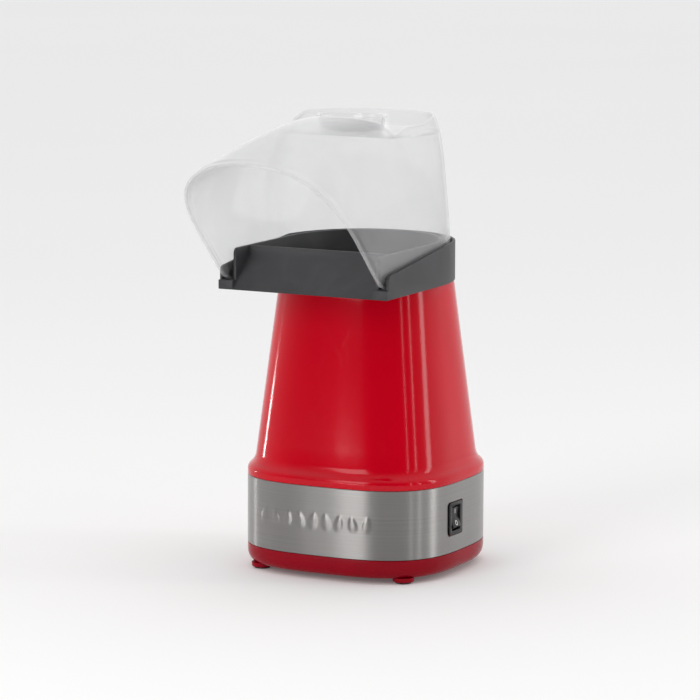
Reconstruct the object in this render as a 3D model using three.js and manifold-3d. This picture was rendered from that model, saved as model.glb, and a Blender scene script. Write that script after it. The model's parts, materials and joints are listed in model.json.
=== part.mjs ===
// Hot-air popcorn maker: a tapered tower on a steel band, a collar with a popcorn chute, a clear
// hood with a measuring cup in its top, and the fan, heater and popping chamber inside the tower.
// Millimetres, +Z up, the chute opens towards -Y, and the rubber feet stand on Z = 0.

import * as THREE from "three";
import { mergeVertices } from "three/addons/utils/BufferGeometryUtils.js";
import Module from "manifold-3d";

const wasm = await Module();
wasm.setup();

// ---- Driving dimensions -------------------------------------------------------------------

// Shared by many pieces
const gap = 0.3; // between two pieces that touch
const running = 0.6; // round a piece that moves
const wall = 3; // moulded shells
const shellSides = 48; // steps round a large shell
const roundSides = 32; // steps round the chamber and the duct
const smallSides = 14; // steps round a screw, a foot or a rod
const through = 60; // how far a cutting tool reaches past what it cuts

// Tower
const baseHalfWidth = 102.5;
const depthRatio = 0.94; // depth of the tower over its width
const baseSquareness = 3.05; // superellipse exponent of the plan at the base
const topSquareness = 2.6; // and at the top of the tower
const undersideZ = 4.6; // underside of the base above the table
const baseEdgeInset = 10; // how far the rounded lower edge draws in
const baseEdgeRise = 12.4;
const baseTopZ = 22.7;
const bandHeight = 64.4;
const bandSheet = 1.2;
const linerHeight = 52; // wall of the base behind the band
const lipDepth = 10; // lip of the body behind the band
const bodyHeight = 181.5; // from the band to the top of the tower
const bodyRimHeight = 4.3; // upright rim above the band
const shoulderInset = 7; // step of the body from its rim to its tapered wall
const shoulderRise = 15;
const towerTaper = 24.9; // how much narrower the top is on each side
const screwLand = 14; // width of the top flange that takes the collar screws
const collarScrewOutset = 12.9; // from the chamber rim at 45 degrees to a collar screw, along X
const collarScrewDraw = 2; // how much nearer a collar screw stands to the middle along Y

// Feet and screws
const footInset = 29; // from the widest point of the base to a foot, along X
const footBossRadius = 10;
const footPadRadius = 7.5;
const footPadHeight = 3.3;
const footBossZ = 1.6; // lower end of a moulded foot
const screwRadius = 1.5;
const screwHeadRadius = 3.2;
const screwHeadHeight = 2.2;
const screwHole = 1.85;

// Collar
const collarOverhang = 8.4; // beyond the top of the tower at each side
const collarReach = 110; // from the start of the rear curve to the front edge
const collarBackOverhang = 7; // behind the top of the tower
const collarBendY = -20; // where the straight sides start to curve to the back
const collarSquareness = 2.2;
const collarWall = 2.5;
const collarFloor = 8.5; // from the underside to the channel's floor
const collarRimFront = 21.5; // height of the outer wall at the front, from the underside
const collarRimSlope = 0.117;
const collarRimRun = 130; // depth over which the outer wall rises before it runs level
const channelWidth = 9.3; // slot that the hood stands in
const tubHeight = 37.5; // of the inner wall, from the underside
const tubSetback = 7; // inner wall's front end behind the collar's front edge
const apronRise = 29.5; // height of the chute's sill over the underside
const apronRun = 32; // depth of the sloping apron in front of the sill
const sillWidth = 2.5;
const funnelEdgeRise = 12.5; // where the funnel meets the tub's sides and back
const cornerRadius = 5;

// Hood
const hoodSheet = 2.2;
const hoodSideClearance = 1.9; // hood to the collar's outer wall
const hoodSpring = 40.7; // height at which the arch starts to close in
const hoodMouthCrest = 120.5; // crown of the mouth over the hood's foot
const hoodRimCrest = 146.7; // crown at the front of the cup pocket
const hoodRearCrest = 166.7; // height at which the rear wall would close
const hoodMouthReach = 220.6; // from the start of the rear curve to the crown of the mouth
const pocketFrontReach = 39; // and to the front wall of the cup pocket
const pocketFloorHeight = 131.2;
const pocketHalfWidth = 58;
const pocketRoofLength = 59; // length of the roof that is open over the pocket
const hoodRimHeight = 145.2; // of the rim behind the finger scoops
const scoopHeight = 137.7; // lowest part of the rim
const hoodBackLean = 26; // how far the rear wall leans in by the rim
const mouthSquareness = 2.37; // superellipse exponent of the arch at the mouth
const rimSquareness = 3; // at the front of the pocket
const rearSquareness = 4; // behind the pocket's front

// Measuring cup
const cupHalfWidth = 34;
const cupHalfDepth = 26;
const cupHeight = 14.7;
const cupWall = 1.6;
const cupDraft = 2.5;
const cupFrontClearance = 1.2;

// Switch on the right-hand side of the band
const switchY = -18.6;
const switchZ = 54.7;
const bezelWidth = 27;
const bezelHeight = 30.7;
const bezelThickness = 1.7;
const bezelCorner = 3;
const windowClearance = 0.5;
const switchHousingDepth = 18;
const rockerWidth = 16;
const rockerHeight = 20;
const rockerPivotDepth = 6; // pivot behind the face of the bezel
const rockerRestDegrees = -8;
const rockerDip = 1.6; // hollow of the rocker's face at its middle

// Cord gland at the back of the base
const glandZ = 14;
const glandBore = 3.6;
const glandBarrel = 5.4;
const glandFlange = 7.4;
const glandFlangeThickness = 1.4;

// Chassis, motor and fan
const chassisThickness = 3;
const chassisPlateZ = 66;
const legRadius = 4.5;
const legPilotDepth = 14;
const motorRadius = 18;
const motorSheet = 1.2;
const motorBottomZ = 28;
const motorGap = 1; // motor to the chassis plate
const endCapThickness = 2.6;
const magnetThickness = 2.1;
const armatureClearance = 1.2; // between the magnet and the armature
const armatureInset = 7;
const shaftRadius = 1.6;
const bushRadius = 4.4;
const bushHeight = 3.4;
const motorScrewCircle = 8.5;
const boardWidth = 40;
const boardDepth = 24;
const boardThickness = 1.6;
const boardDrop = 6; // board below the motor
const fanHeight = 18;
const fanRise = 9; // fan above the chassis plate
const fanDisc = 1.8;
const fanHubRadius = 7;
const bladeCount = 10;
const bladeThickness = 1.6;

// Heater, duct and popping chamber
const chamberHeight = 96;
const chamberSheet = 1.2;
const chamberDraft = 4; // narrower at the bottom by this radius
const chamberFlange = 6;
const chamberCorner = 6;
const airGap = 4; // between the chamber and the duct
const ductSheet = 1.2;
const ductLap = 36; // of the duct over the chamber
const sealRingHeight = 2;
const louvreCount = 16;
const louvreWidth = 2.2;
const louvreHeight = 14;
const louvreTurn = 0.6; // radians off the radius, to swirl the air
const fanTipClearance = 4;
const heaterClearance = 8; // above the fan and under the chamber
const micaThickness = 1.5;
const coilInset = 18.5; // coil radius inside the duct
const coilTurns = 4;
const dropperTurns = 3;
const dropperShare = 0.45; // radius of the dropper coil over the main coil's
const dropperHeightShare = 0.24;
const coilWire = 1.2;
const thermostatRadius = 8;
const thermostatDepth = 6;
const fuseRadius = 2.4;
const fuseLength = 12;
const leadRadius = 1.1;

// ---- Places worked out from them ----------------------------------------------------------

const baseHalfDepth = baseHalfWidth * depthRatio;
const bandBottomZ = baseTopZ + gap;
const bandTopZ = bandBottomZ + bandHeight;
const linerRadius = baseHalfWidth - bandSheet - 0.4;
const linerTopZ = bandBottomZ + linerHeight;
const bodyBottomZ = bandTopZ + gap;
const bodyTopZ = bodyBottomZ + bodyHeight;
const topHalfWidth = baseHalfWidth - towerTaper;
const taperHalfWidth = baseHalfWidth - shoulderInset;
const taperBottomZ = bodyBottomZ + bodyRimHeight + shoulderRise;

const collarBottomZ = bodyTopZ + gap;
const collarHalfWidth = topHalfWidth + collarOverhang;
const collarFrontY = collarBendY - collarReach;
const collarBackY = topHalfWidth * depthRatio + collarBackOverhang;
const channelFloorZ = collarBottomZ + collarFloor;
const channelHalfWidth = collarHalfWidth - collarWall;
const tubHalfWidth = channelHalfWidth - channelWidth;
const tubBackY = collarBackY - collarWall - channelWidth;
const tubFrontY = collarFrontY + tubSetback;
const tubTopZ = collarBottomZ + tubHeight;
const sillZ = collarBottomZ + apronRise;
const sillY = collarFrontY + apronRun;

const chamberTopZ = bodyTopZ - 1;
const chamberBottomZ = chamberTopZ - chamberHeight;
const chamberRimRadius = topHalfWidth * depthRatio - wall - screwLand;
const chamberRadius = chamberRimRadius - chamberFlange;
const ductRadius = chamberRadius + airGap;
const chassisTopZ = chassisPlateZ + chassisThickness;
const ductBottomZ = chassisTopZ + gap;
const ductTopZ = chamberBottomZ + ductLap;
const chassisRadius = ductRadius + ductSheet + 5;
const legPlace = (chassisRadius - legRadius - gap) * Math.SQRT1_2;
const fanBottomZ = chassisTopZ + fanRise;
const fanTopZ = fanBottomZ + fanHeight;
const fanRadius = ductRadius - fanTipClearance;
const heaterBottomZ = fanTopZ + heaterClearance;
const heaterTopZ = chamberBottomZ - heaterClearance;

const hoodFootZ = channelFloorZ + gap;
const hoodHalfWidth = channelHalfWidth - hoodSideClearance;
const hoodBackY = collarBackY - collarWall - hoodSideClearance;
const hoodSpringZ = hoodFootZ + hoodSpring;
const mouthCrownY = collarBendY - hoodMouthReach;
const mouthCrownZ = hoodFootZ + hoodMouthCrest;
const pocketFrontY = collarBendY - pocketFrontReach;
const pocketFloorZ = hoodFootZ + pocketFloorHeight;
const hoodRimZ = hoodFootZ + hoodRimHeight;
const scoopZ = hoodFootZ + scoopHeight;
const hoodTopZ = hoodFootZ + hoodRearCrest;

const motorTopZ = chassisPlateZ - motorGap;
const footX = baseHalfWidth - footInset;
const footY = footX * depthRatio;

// ---- Building blocks ----------------------------------------------------------------------

// A closed geometry as a solid, with its faces turned outwards.
function solidOf(geometry) {
  const bare = new THREE.BufferGeometry();
  bare.setAttribute("position", geometry.getAttribute("position"));
  bare.setIndex(geometry.index);
  const merged = mergeVertices(bare, 1e-4);
  const index = merged.index.array;
  const kept = [];
  for (let i = 0; i < index.length; i += 3) {
    const [a, b, c] = index.slice(i, i + 3);
    if (a !== b && b !== c && c !== a) kept.push([a, b, c]);
  }
  const build = (triangles) =>
    new wasm.Manifold(
      new wasm.Mesh({
        numProp: 3,
        vertProperties: merged.attributes.position.array,
        triVerts: Uint32Array.from(triangles.flat()),
      }),
    );
  const made = build(kept);
  return made.volume() > 0 ? made : build(kept.map(([a, b, c]) => [a, c, b]));
}

const join = (first, ...rest) => rest.reduce((sum, next) => sum.add(next), first);
const cut = (first, ...tools) => tools.reduce((left, tool) => left.subtract(tool), first);
const vector = ([x, y]) => new THREE.Vector2(x, y);

// A flat-shaded geometry of a solid.
function geometryOf(solid) {
  const mesh = solid.getMesh();
  const positions = new Float32Array(mesh.numVert * 3);
  for (let i = 0; i < mesh.numVert; i += 1) {
    const start = i * mesh.numProp;
    positions.set(mesh.vertProperties.subarray(start, start + 3), i * 3);
  }
  const geometry = new THREE.BufferGeometry();
  geometry.setAttribute("position", new THREE.BufferAttribute(positions, 3));
  geometry.setIndex(new THREE.BufferAttribute(mesh.triVerts, 1));
  const flat = geometry.toNonIndexed();
  flat.computeVertexNormals();
  return flat;
}

// An outline of [x, y] points pushed up from one height to another.
function prism(outline, fromZ, toZ) {
  const options = { depth: toZ - fromZ, bevelEnabled: false };
  const geometry = new THREE.ExtrudeGeometry(new THREE.Shape(outline.map(vector)), options);
  return solidOf(geometry.translate(0, 0, fromZ));
}

// A side-view outline of [y, z] points, pushed from one X to another.
function sidePrism(outline, fromX, toX) {
  const options = { depth: toX - fromX, bevelEnabled: false };
  const geometry = new THREE.ExtrudeGeometry(new THREE.Shape(outline.map(vector)), options);
  const turn = new THREE.Matrix4().set(0, 0, 1, fromX, 1, 0, 0, 0, 0, 1, 0, 0, 0, 0, 0, 1);
  return solidOf(geometry.applyMatrix4(turn));
}

// A block given by its size and centre.
function block(size, centre, turnZ = 0) {
  const geometry = new THREE.BoxGeometry(...size);
  return solidOf(geometry.rotateZ(turnZ).translate(...centre));
}

// An upright cylinder.
function rod(radius, fromZ, toZ, x = 0, y = 0, sides = smallSides) {
  const geometry = new THREE.CylinderGeometry(radius, radius, toZ - fromZ, sides);
  return solidOf(geometry.rotateX(Math.PI / 2).translate(x, y, (fromZ + toZ) / 2));
}

// A cylinder along X or along Y.
function rodAlong(axis, radius, from, to, centre, sides = smallSides) {
  const geometry = new THREE.CylinderGeometry(radius, radius, to - from, sides);
  const turned = axis === "x" ? geometry.rotateZ(Math.PI / 2) : geometry;
  const middle = (from + to) / 2;
  const [x, y, z] = centre;
  return solidOf(axis === "x" ? turned.translate(middle, y, z) : turned.translate(x, middle, z));
}

// A profile of [radius, z] points turned about the Z axis.
function turned(profile, sides = roundSides) {
  const geometry = new THREE.LatheGeometry(profile.map(vector), sides);
  return geometry.rotateX(Math.PI / 2);
}

const ring = (inner, outer, fromZ, toZ, sides = roundSides) =>
  solidOf(turned([[inner, fromZ], [outer, fromZ], [outer, toZ], [inner, toZ], [inner, fromZ]], sides));

// The tower's superellipse exponent at a height.
function squarenessAt(z) {
  const share = THREE.MathUtils.clamp((z - bodyBottomZ) / bodyHeight, 0, 1);
  return THREE.MathUtils.lerp(baseSquareness, topSquareness, share);
}

// A profile turned about Z and squared to the tower's plan.
function squared(profile) {
  const geometry = turned(profile, shellSides);
  const place = geometry.getAttribute("position");
  for (let i = 0; i < place.count; i += 1) {
    const radius = Math.hypot(place.getX(i), place.getY(i));
    if (radius < 1e-6) continue;
    const power = 2 / squarenessAt(place.getZ(i));
    const across = place.getX(i) / radius;
    const along = place.getY(i) / radius;
    place.setX(i, radius * Math.sign(across) * Math.abs(across) ** power);
    place.setY(i, radius * depthRatio * Math.sign(along) * Math.abs(along) ** power);
  }
  return solidOf(geometry);
}

// A skin through loops of [x, y, z] points of equal count, closed by a fan at each end.
function loft(loops) {
  const count = loops[0].length;
  const triangles = [];
  for (let level = 0; level + 1 < loops.length; level += 1) {
    for (let i = 0; i < count; i += 1) {
      const a = level * count + i;
      const b = level * count + ((i + 1) % count);
      triangles.push(a, b, b + count, a, b + count, a + count);
    }
  }
  const top = (loops.length - 1) * count;
  for (let i = 1; i + 1 < count; i += 1) {
    triangles.push(0, i + 1, i, top, top + i, top + i + 1);
  }
  const geometry = new THREE.BufferGeometry();
  const positions = new Float32Array(loops.flat(2));
  geometry.setAttribute("position", new THREE.BufferAttribute(positions, 3));
  geometry.setIndex(triangles);
  return solidOf(geometry);
}

// A round bar along a smooth curve through points.
function wire(points, radius, steps, sides = 8) {
  const section = new THREE.Shape();
  section.absarc(0, 0, radius, 0, Math.PI * 2);
  const extrudePath = new THREE.CatmullRomCurve3(points.map((p) => new THREE.Vector3(...p)));
  const options = { steps, extrudePath, bevelEnabled: false, curveSegments: sides / 2 };
  return solidOf(new THREE.ExtrudeGeometry(section, options));
}

// Points of a quarter circle from one angle to another, in degrees.
function arc(centre, radius, fromDegrees, toDegrees, steps = 4) {
  return Array.from({ length: steps + 1 }, (_, i) => {
    const angle = THREE.MathUtils.degToRad(fromDegrees + ((toDegrees - fromDegrees) * i) / steps);
    return [centre[0] + radius * Math.cos(angle), centre[1] + radius * Math.sin(angle)];
  });
}

// A rectangle with rounded corners, centred on the origin.
function roundedRectangle(width, height, radius) {
  const x = width / 2 - radius;
  const y = height / 2 - radius;
  return [
    ...arc([x, y], radius, 0, 90, 3),
    ...arc([-x, y], radius, 90, 180, 3),
    ...arc([-x, -y], radius, 180, 270, 3),
    ...arc([x, -y], radius, 270, 360, 3),
  ];
}

// Plan of the collar and what nests in it: straight sides, a straight front, a curved back.
function collarPlan(halfWidth, frontY, backY) {
  const backSteps = 20;
  const sideSteps = 5;
  const points = [];
  for (let i = 0; i <= backSteps; i += 1) {
    const angle = (Math.PI * i) / backSteps;
    const across = Math.sign(Math.cos(angle)) * Math.abs(Math.cos(angle)) ** (2 / collarSquareness);
    const along = Math.abs(Math.sin(angle)) ** (2 / collarSquareness);
    points.push([halfWidth * across, collarBendY + (backY - collarBendY) * along]);
  }
  for (let i = 1; i <= sideSteps; i += 1) {
    points.push([-halfWidth, THREE.MathUtils.lerp(collarBendY, frontY, i / sideSteps)]);
  }
  for (let i = 1; i <= sideSteps; i += 1) {
    points.push([THREE.MathUtils.lerp(-halfWidth, halfWidth, i / sideSteps), frontY]);
  }
  for (let i = 1; i < sideSteps; i += 1) {
    points.push([halfWidth, THREE.MathUtils.lerp(frontY, collarBendY, i / sideSteps)]);
  }
  return points;
}

// ---- The exported group -------------------------------------------------------------------

const finishes = {
  red: { color: 0xb4001c, roughness: 0.22, metalness: 0 },
  steel: { color: 0xb9b7b3, roughness: 0.34, metalness: 1 },
  charcoal: { color: 0x3f4042, roughness: 0.5, metalness: 0 },
  clear: { color: 0xe8ebed, roughness: 0.06, metalness: 0, transparent: true, opacity: 0.35 },
  black: { color: 0x151515, roughness: 0.4, metalness: 0 },
  rubber: { color: 0x1b1b1b, roughness: 0.85, metalness: 0 },
  aluminium: { color: 0xc9cbcd, roughness: 0.38, metalness: 1 },
  zinc: { color: 0x9fa3a6, roughness: 0.42, metalness: 1 },
  mica: { color: 0xb9a98a, roughness: 0.6, metalness: 0 },
  heating: { color: 0x6d655e, roughness: 0.5, metalness: 1 },
  white: { color: 0xe6e3da, roughness: 0.55, metalness: 0 },
  board: { color: 0x2c5a3a, roughness: 0.55, metalness: 0 },
  brass: { color: 0xb8963f, roughness: 0.35, metalness: 1 },
  copper: { color: 0xa4582c, roughness: 0.4, metalness: 1 },
};

const tower = new THREE.Group();

function add(name, finish, solid, parent = tower) {
  const material = new THREE.MeshStandardMaterial(finishes[finish]);
  const mesh = new THREE.Mesh(geometryOf(solid), material);
  mesh.name = name;
  parent.add(mesh);
  return mesh;
}

const corners = [
  ["front_left", -1, -1],
  ["front_right", 1, -1],
  ["back_left", -1, 1],
  ["back_right", 1, 1],
];

// ---- Base, band and body ------------------------------------------------------------------

// Half-width of the tapered wall of the body at a height.
const taperAt = (z) =>
  THREE.MathUtils.mapLinear(z, taperBottomZ, bodyTopZ, taperHalfWidth, topHalfWidth);

function switchTool(width, height, fromX) {
  const outline = roundedRectangle(width, height, bezelCorner);
  const moved = outline.map(([y, z]) => [y + switchY, z + switchZ]);
  return sidePrism(moved, fromX, baseHalfWidth + through);
}

function baseShell() {
  const lower = new THREE.CubicBezierCurve(
    vector([baseHalfWidth - baseEdgeInset, undersideZ]),
    vector([baseHalfWidth - baseEdgeInset * 0.35, undersideZ]),
    vector([baseHalfWidth, undersideZ + baseEdgeRise * 0.35]),
    vector([baseHalfWidth, undersideZ + baseEdgeRise]),
  );
  const linerInner = linerRadius - wall;
  const profile = [
    [0, undersideZ],
    ...lower.getPoints(6).map(({ x, y }) => [x, y]),
    [baseHalfWidth, baseTopZ],
    [linerRadius, baseTopZ],
    [linerRadius, linerTopZ],
    [linerInner, linerTopZ],
    [linerInner, undersideZ + baseEdgeRise + wall],
    [linerInner - baseEdgeInset * 0.7, undersideZ + wall],
    [0, undersideZ + wall],
  ];
  let shell = squared(profile);
  for (const [, x, y] of corners) {
    const boss = rod(footBossRadius, footBossZ, undersideZ + 1, x * footX, y * footY, 20);
    const seatTop = footPadHeight + gap;
    const seat = rod(footPadRadius + gap, -1, seatTop, x * footX, y * footY, 20);
    const hole = rod(screwHole, -1, undersideZ + wall + 1, x * legPlace, y * legPlace);
    shell = cut(join(shell, boss), seat, hole);
  }
  const slotLength = 2 * (legPlace - legRadius - screwHeadRadius - 6);
  const slotPitch = 10;
  const slots = Math.floor(slotLength / slotPitch / 2);
  for (let i = -slots; i <= slots; i += 1) {
    shell = cut(shell, block([slotLength, 5, through], [0, i * slotPitch, undersideZ]));
  }
  const cordHole = rodAlong("y", glandBarrel + gap, 0, through * 2, [0, 0, glandZ], 20);
  const housingWidth = bezelWidth - 3;
  const housingHeight = bezelHeight - 3;
  return cut(shell, cordHole, switchTool(housingWidth, housingHeight, 0));
}

function steelBand() {
  const inner = baseHalfWidth - bandSheet;
  const profile = [
    [inner, bandBottomZ],
    [baseHalfWidth, bandBottomZ],
    [baseHalfWidth, bandTopZ],
    [inner, bandTopZ],
    [inner, bandBottomZ],
  ];
  const width = bezelWidth + 2 * windowClearance;
  const height = bezelHeight + 2 * windowClearance;
  return cut(squared(profile), switchTool(width, height, 0));
}

function bodyShell() {
  const rimTopZ = bodyBottomZ + bodyRimHeight;
  const shoulder = new THREE.CubicBezierCurve(
    vector([baseHalfWidth, rimTopZ]),
    vector([baseHalfWidth, rimTopZ + shoulderRise * 0.47]),
    vector([taperHalfWidth + 1.4, rimTopZ + shoulderRise * 0.3]),
    vector([taperHalfWidth, taperBottomZ]),
  );
  const holeHalfWidth = (chamberRimRadius + 2.5) / depthRatio;
  const middleZ = (taperBottomZ + bodyTopZ) / 2;
  const profile = [
    [linerRadius - wall, bandTopZ - lipDepth],
    [linerRadius, bandTopZ - lipDepth],
    [linerRadius, bodyBottomZ],
    [baseHalfWidth, bodyBottomZ],
    ...shoulder.getPoints(8).map(({ x, y }) => [x, y]),
    [taperAt(middleZ), middleZ],
    [topHalfWidth, bodyTopZ],
    [holeHalfWidth, bodyTopZ],
    [holeHalfWidth, bodyTopZ - wall],
    [taperAt(bodyTopZ - wall) - wall, bodyTopZ - wall],
    [taperAt(middleZ) - wall, middleZ],
    [taperHalfWidth - wall, taperBottomZ],
    [linerRadius - wall, rimTopZ],
    [linerRadius - wall, bandTopZ - lipDepth],
  ];
  const holes = corners.map(([, x, y]) =>
    rod(screwHole, bodyTopZ - wall - 1, bodyTopZ + 1, x * collarScrewX, y * collarScrewY),
  );
  return cut(squared(profile), ...holes);
}

const collarScrewX = chamberRimRadius * Math.SQRT1_2 + collarScrewOutset;
const collarScrewY = collarScrewX - collarScrewDraw;

add("base_shell", "red", baseShell());
add("steel_band", "steel", steelBand());
add("body_shell", "red", bodyShell());

for (const [place, x, y] of corners) {
  add(`foot_pad_${place}`, "rubber", rod(footPadRadius, 0, footPadHeight, x * footX, y * footY, 20));
}

// A pan-head screw that points up, from the top of its head.
function screw(headTopZ, length, x, y) {
  const head = rod(screwHeadRadius, headTopZ - screwHeadHeight, headTopZ, x, y);
  return join(head, rod(screwRadius, headTopZ - 0.5, headTopZ + length, x, y));
}

for (const [place, x, y] of corners) {
  const solid = screw(undersideZ - gap, 16, x * legPlace, y * legPlace);
  add(`base_screw_${place}`, "zinc", solid);
}

// ---- Collar with its chute ----------------------------------------------------------------

function collar() {
  const topZ = collarBottomZ + through * 2;
  const outerPlan = collarPlan(collarHalfWidth, collarFrontY, collarBackY);
  const slotPlan = collarPlan(channelHalfWidth, collarFrontY - through, collarBackY - collarWall);
  const tubPlan = collarPlan(tubHalfWidth, tubFrontY, tubBackY);
  const slab = prism(outerPlan, collarBottomZ, channelFloorZ);

  const rimEndY = collarFrontY + 3;
  const rimFrontZ = collarBottomZ + collarRimFront;
  const rimBackZ = rimFrontZ + collarRimSlope * collarRimRun;
  const rimProfile = [
    [rimEndY, collarBottomZ],
    [collarBackY + 1, collarBottomZ],
    [collarBackY + 1, rimBackZ],
    [rimEndY + collarRimRun, rimBackZ],
    ...arc([rimEndY + cornerRadius, rimFrontZ - cornerRadius], cornerRadius, 97, 180),
  ];
  const rimSpan = sidePrism(rimProfile, -collarHalfWidth - 1, collarHalfWidth + 1);
  const rim = prism(outerPlan, channelFloorZ - 1, topZ).intersect(rimSpan);
  const outerWall = cut(rim, prism(slotPlan, channelFloorZ - 2, topZ + 1));

  const tubProfile = [
    [tubFrontY, collarBottomZ],
    [tubBackY + 1, collarBottomZ],
    [tubBackY + 1, tubTopZ],
    ...arc([tubFrontY + cornerRadius, tubTopZ - cornerRadius], cornerRadius, 90, 180),
  ];
  const tubSpan = sidePrism(tubProfile, -tubHalfWidth - 1, tubHalfWidth + 1);
  const tub = prism(tubPlan, collarBottomZ, topZ).intersect(tubSpan);

  const innerHalfWidth = tubHalfWidth - wall;
  const mouthPlan = collarPlan(innerHalfWidth, sillY + sillWidth, tubBackY - wall);
  const mouthRadius = chamberRadius + 1;
  const towards = (radius, z) =>
    mouthPlan.map(([x, y]) => [(radius * x) / Math.hypot(x, y), (radius * y) / Math.hypot(x, y), z]);
  const edgeZ = (y) => {
    const share = THREE.MathUtils.clamp((collarBendY - y) / (collarBendY - sillY), 0, 1);
    return collarBottomZ + THREE.MathUtils.lerp(funnelEdgeRise, apronRise, share);
  };
  const funnel = loft([
    towards(mouthRadius, collarBottomZ - wall),
    towards(mouthRadius, collarBottomZ + 2),
    mouthPlan.map(([x, y]) => [x, y, edgeZ(y)]),
    mouthPlan.map(([x, y]) => [x, y, topZ]),
  ]);

  const slope = (sillZ - collarBottomZ) / apronRun;
  const frontY = collarFrontY - through;
  const apronSpace = sidePrism(
    [
      [frontY, collarBottomZ - slope * through],
      [sillY, sillZ],
      [sillY, topZ],
      [frontY, topZ],
    ],
    -innerHalfWidth,
    innerHalfWidth,
  );
  const skin = wall * 1.5;
  const rampStartY = -mouthRadius - skin;
  const underside = sidePrism(
    [
      [collarFrontY + skin, collarBottomZ - 1],
      [sillY + 0.5, sillZ - skin - 1],
      [sillY + 3.5, sillZ - skin - 3],
      [rampStartY - 4, collarBottomZ - 1],
    ],
    -innerHalfWidth + 2,
    innerHalfWidth - 2,
  );

  const neckTopZ = collarBottomZ + 1;
  const neck = ring(mouthRadius, chamberRimRadius + 1, chamberTopZ + gap, neckTopZ);
  const pilots = corners.map(([, x, y]) =>
    rod(screwHole, collarBottomZ - 1, collarBottomZ + 6, x * collarScrewX, y * collarScrewY),
  );
  const whole = join(slab, outerWall, tub);
  return cut(join(cut(whole, funnel, apronSpace, underside), neck), ...pilots);
}

add("collar", "charcoal", collar());

for (const [place, x, y] of corners) {
  const solid = screw(bodyTopZ - wall - gap, 8.5, x * collarScrewX, y * collarScrewY);
  add(`collar_screw_${place}`, "zinc", solid);
}

// ---- Hood and measuring cup ---------------------------------------------------------------

const smooth = (value, from, to) => THREE.MathUtils.smoothstep(value, from, to);

// Height of the crown over Y: a long rising roof, then a steeper rise behind the pocket front.
function crownZ(y) {
  const share = Math.max(0, (pocketFrontY - y) / (pocketFrontY - mouthCrownY));
  const roof = THREE.MathUtils.lerp(hoodRimCrest, hoodMouthCrest, share ** 1.6);
  const rear = (hoodRearCrest - hoodRimCrest) * smooth(y, pocketFrontY, -pocketFrontY / 5);
  return hoodFootZ + roof + rear;
}

// Superellipse exponent of the arch over Y.
function archSquareness(y) {
  const share = THREE.MathUtils.mapLinear(y, mouthCrownY, pocketFrontY, 0, 1);
  const front = THREE.MathUtils.lerp(mouthSquareness, rimSquareness, Math.min(1, share));
  return front + (rearSquareness - rimSquareness) * smooth(y, pocketFrontY, -pocketFrontY / 5);
}

// Half-width of the arch at a height, drawn in by the sheet's thickness for the inner side.
function archHalfWidth(y, z, inset) {
  const halfWidth = hoodHalfWidth - inset;
  const rise = (z - hoodSpringZ) / (crownZ(y) - inset - hoodSpringZ);
  const power = archSquareness(y);
  return rise <= 0 ? halfWidth : halfWidth * Math.max(0, 1 - rise ** power) ** (1 / power);
}

// The rear wall's place at a height: upright at the foot, leaning in towards the rim.
function rearY(z, inset) {
  return hoodBackY - inset - hoodBackLean * smooth(z, hoodFootZ + 15, hoodRimZ - 25);
}

// The hood as a filled form; the inner form is the same, drawn in by the sheet.
function hoodForm(inset, footZ) {
  const archSteps = 22;
  const stations = [-16, 0, 16, 34, 54, 78, 104, 130, 156, 181.6, 202, 221.6];
  const sections = stations.map((distance) => {
    const y = mouthCrownY + distance;
    const power = archSquareness(y);
    const halfWidth = hoodHalfWidth - inset;
    const height = crownZ(y) - inset - hoodSpringZ;
    const arch = Array.from({ length: archSteps + 1 }, (_, i) => {
      const angle = (Math.PI * i) / archSteps;
      const across = Math.sign(Math.cos(angle)) * Math.abs(Math.cos(angle)) ** (2 / power);
      return [halfWidth * across, y, hoodSpringZ + height * Math.sin(angle) ** (2 / power)];
    });
    return [[halfWidth, y, footZ], ...arch, [-halfWidth, y, footZ]];
  });
  const rearSteps = 20;
  const levels = [0, 20, 40.7, 54, 68, 82, 96, 110, 122, 134, 145, 153];
  const rear = levels.map((height, level) => {
    const z = level === 0 ? footZ : hoodFootZ + height;
    const depth = rearY(z, inset) - collarBendY;
    return Array.from({ length: rearSteps + 1 }, (_, i) => {
      const angle = (Math.PI * i) / rearSteps;
      const y = collarBendY + depth * Math.sin(angle) ** (2 / collarSquareness);
      const across = Math.abs(Math.cos(angle)) ** (2 / collarSquareness);
      return [Math.sign(Math.cos(angle)) * across * archHalfWidth(y, z, inset), y, z];
    });
  });
  return join(loft(sections), loft(rear));
}

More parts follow.
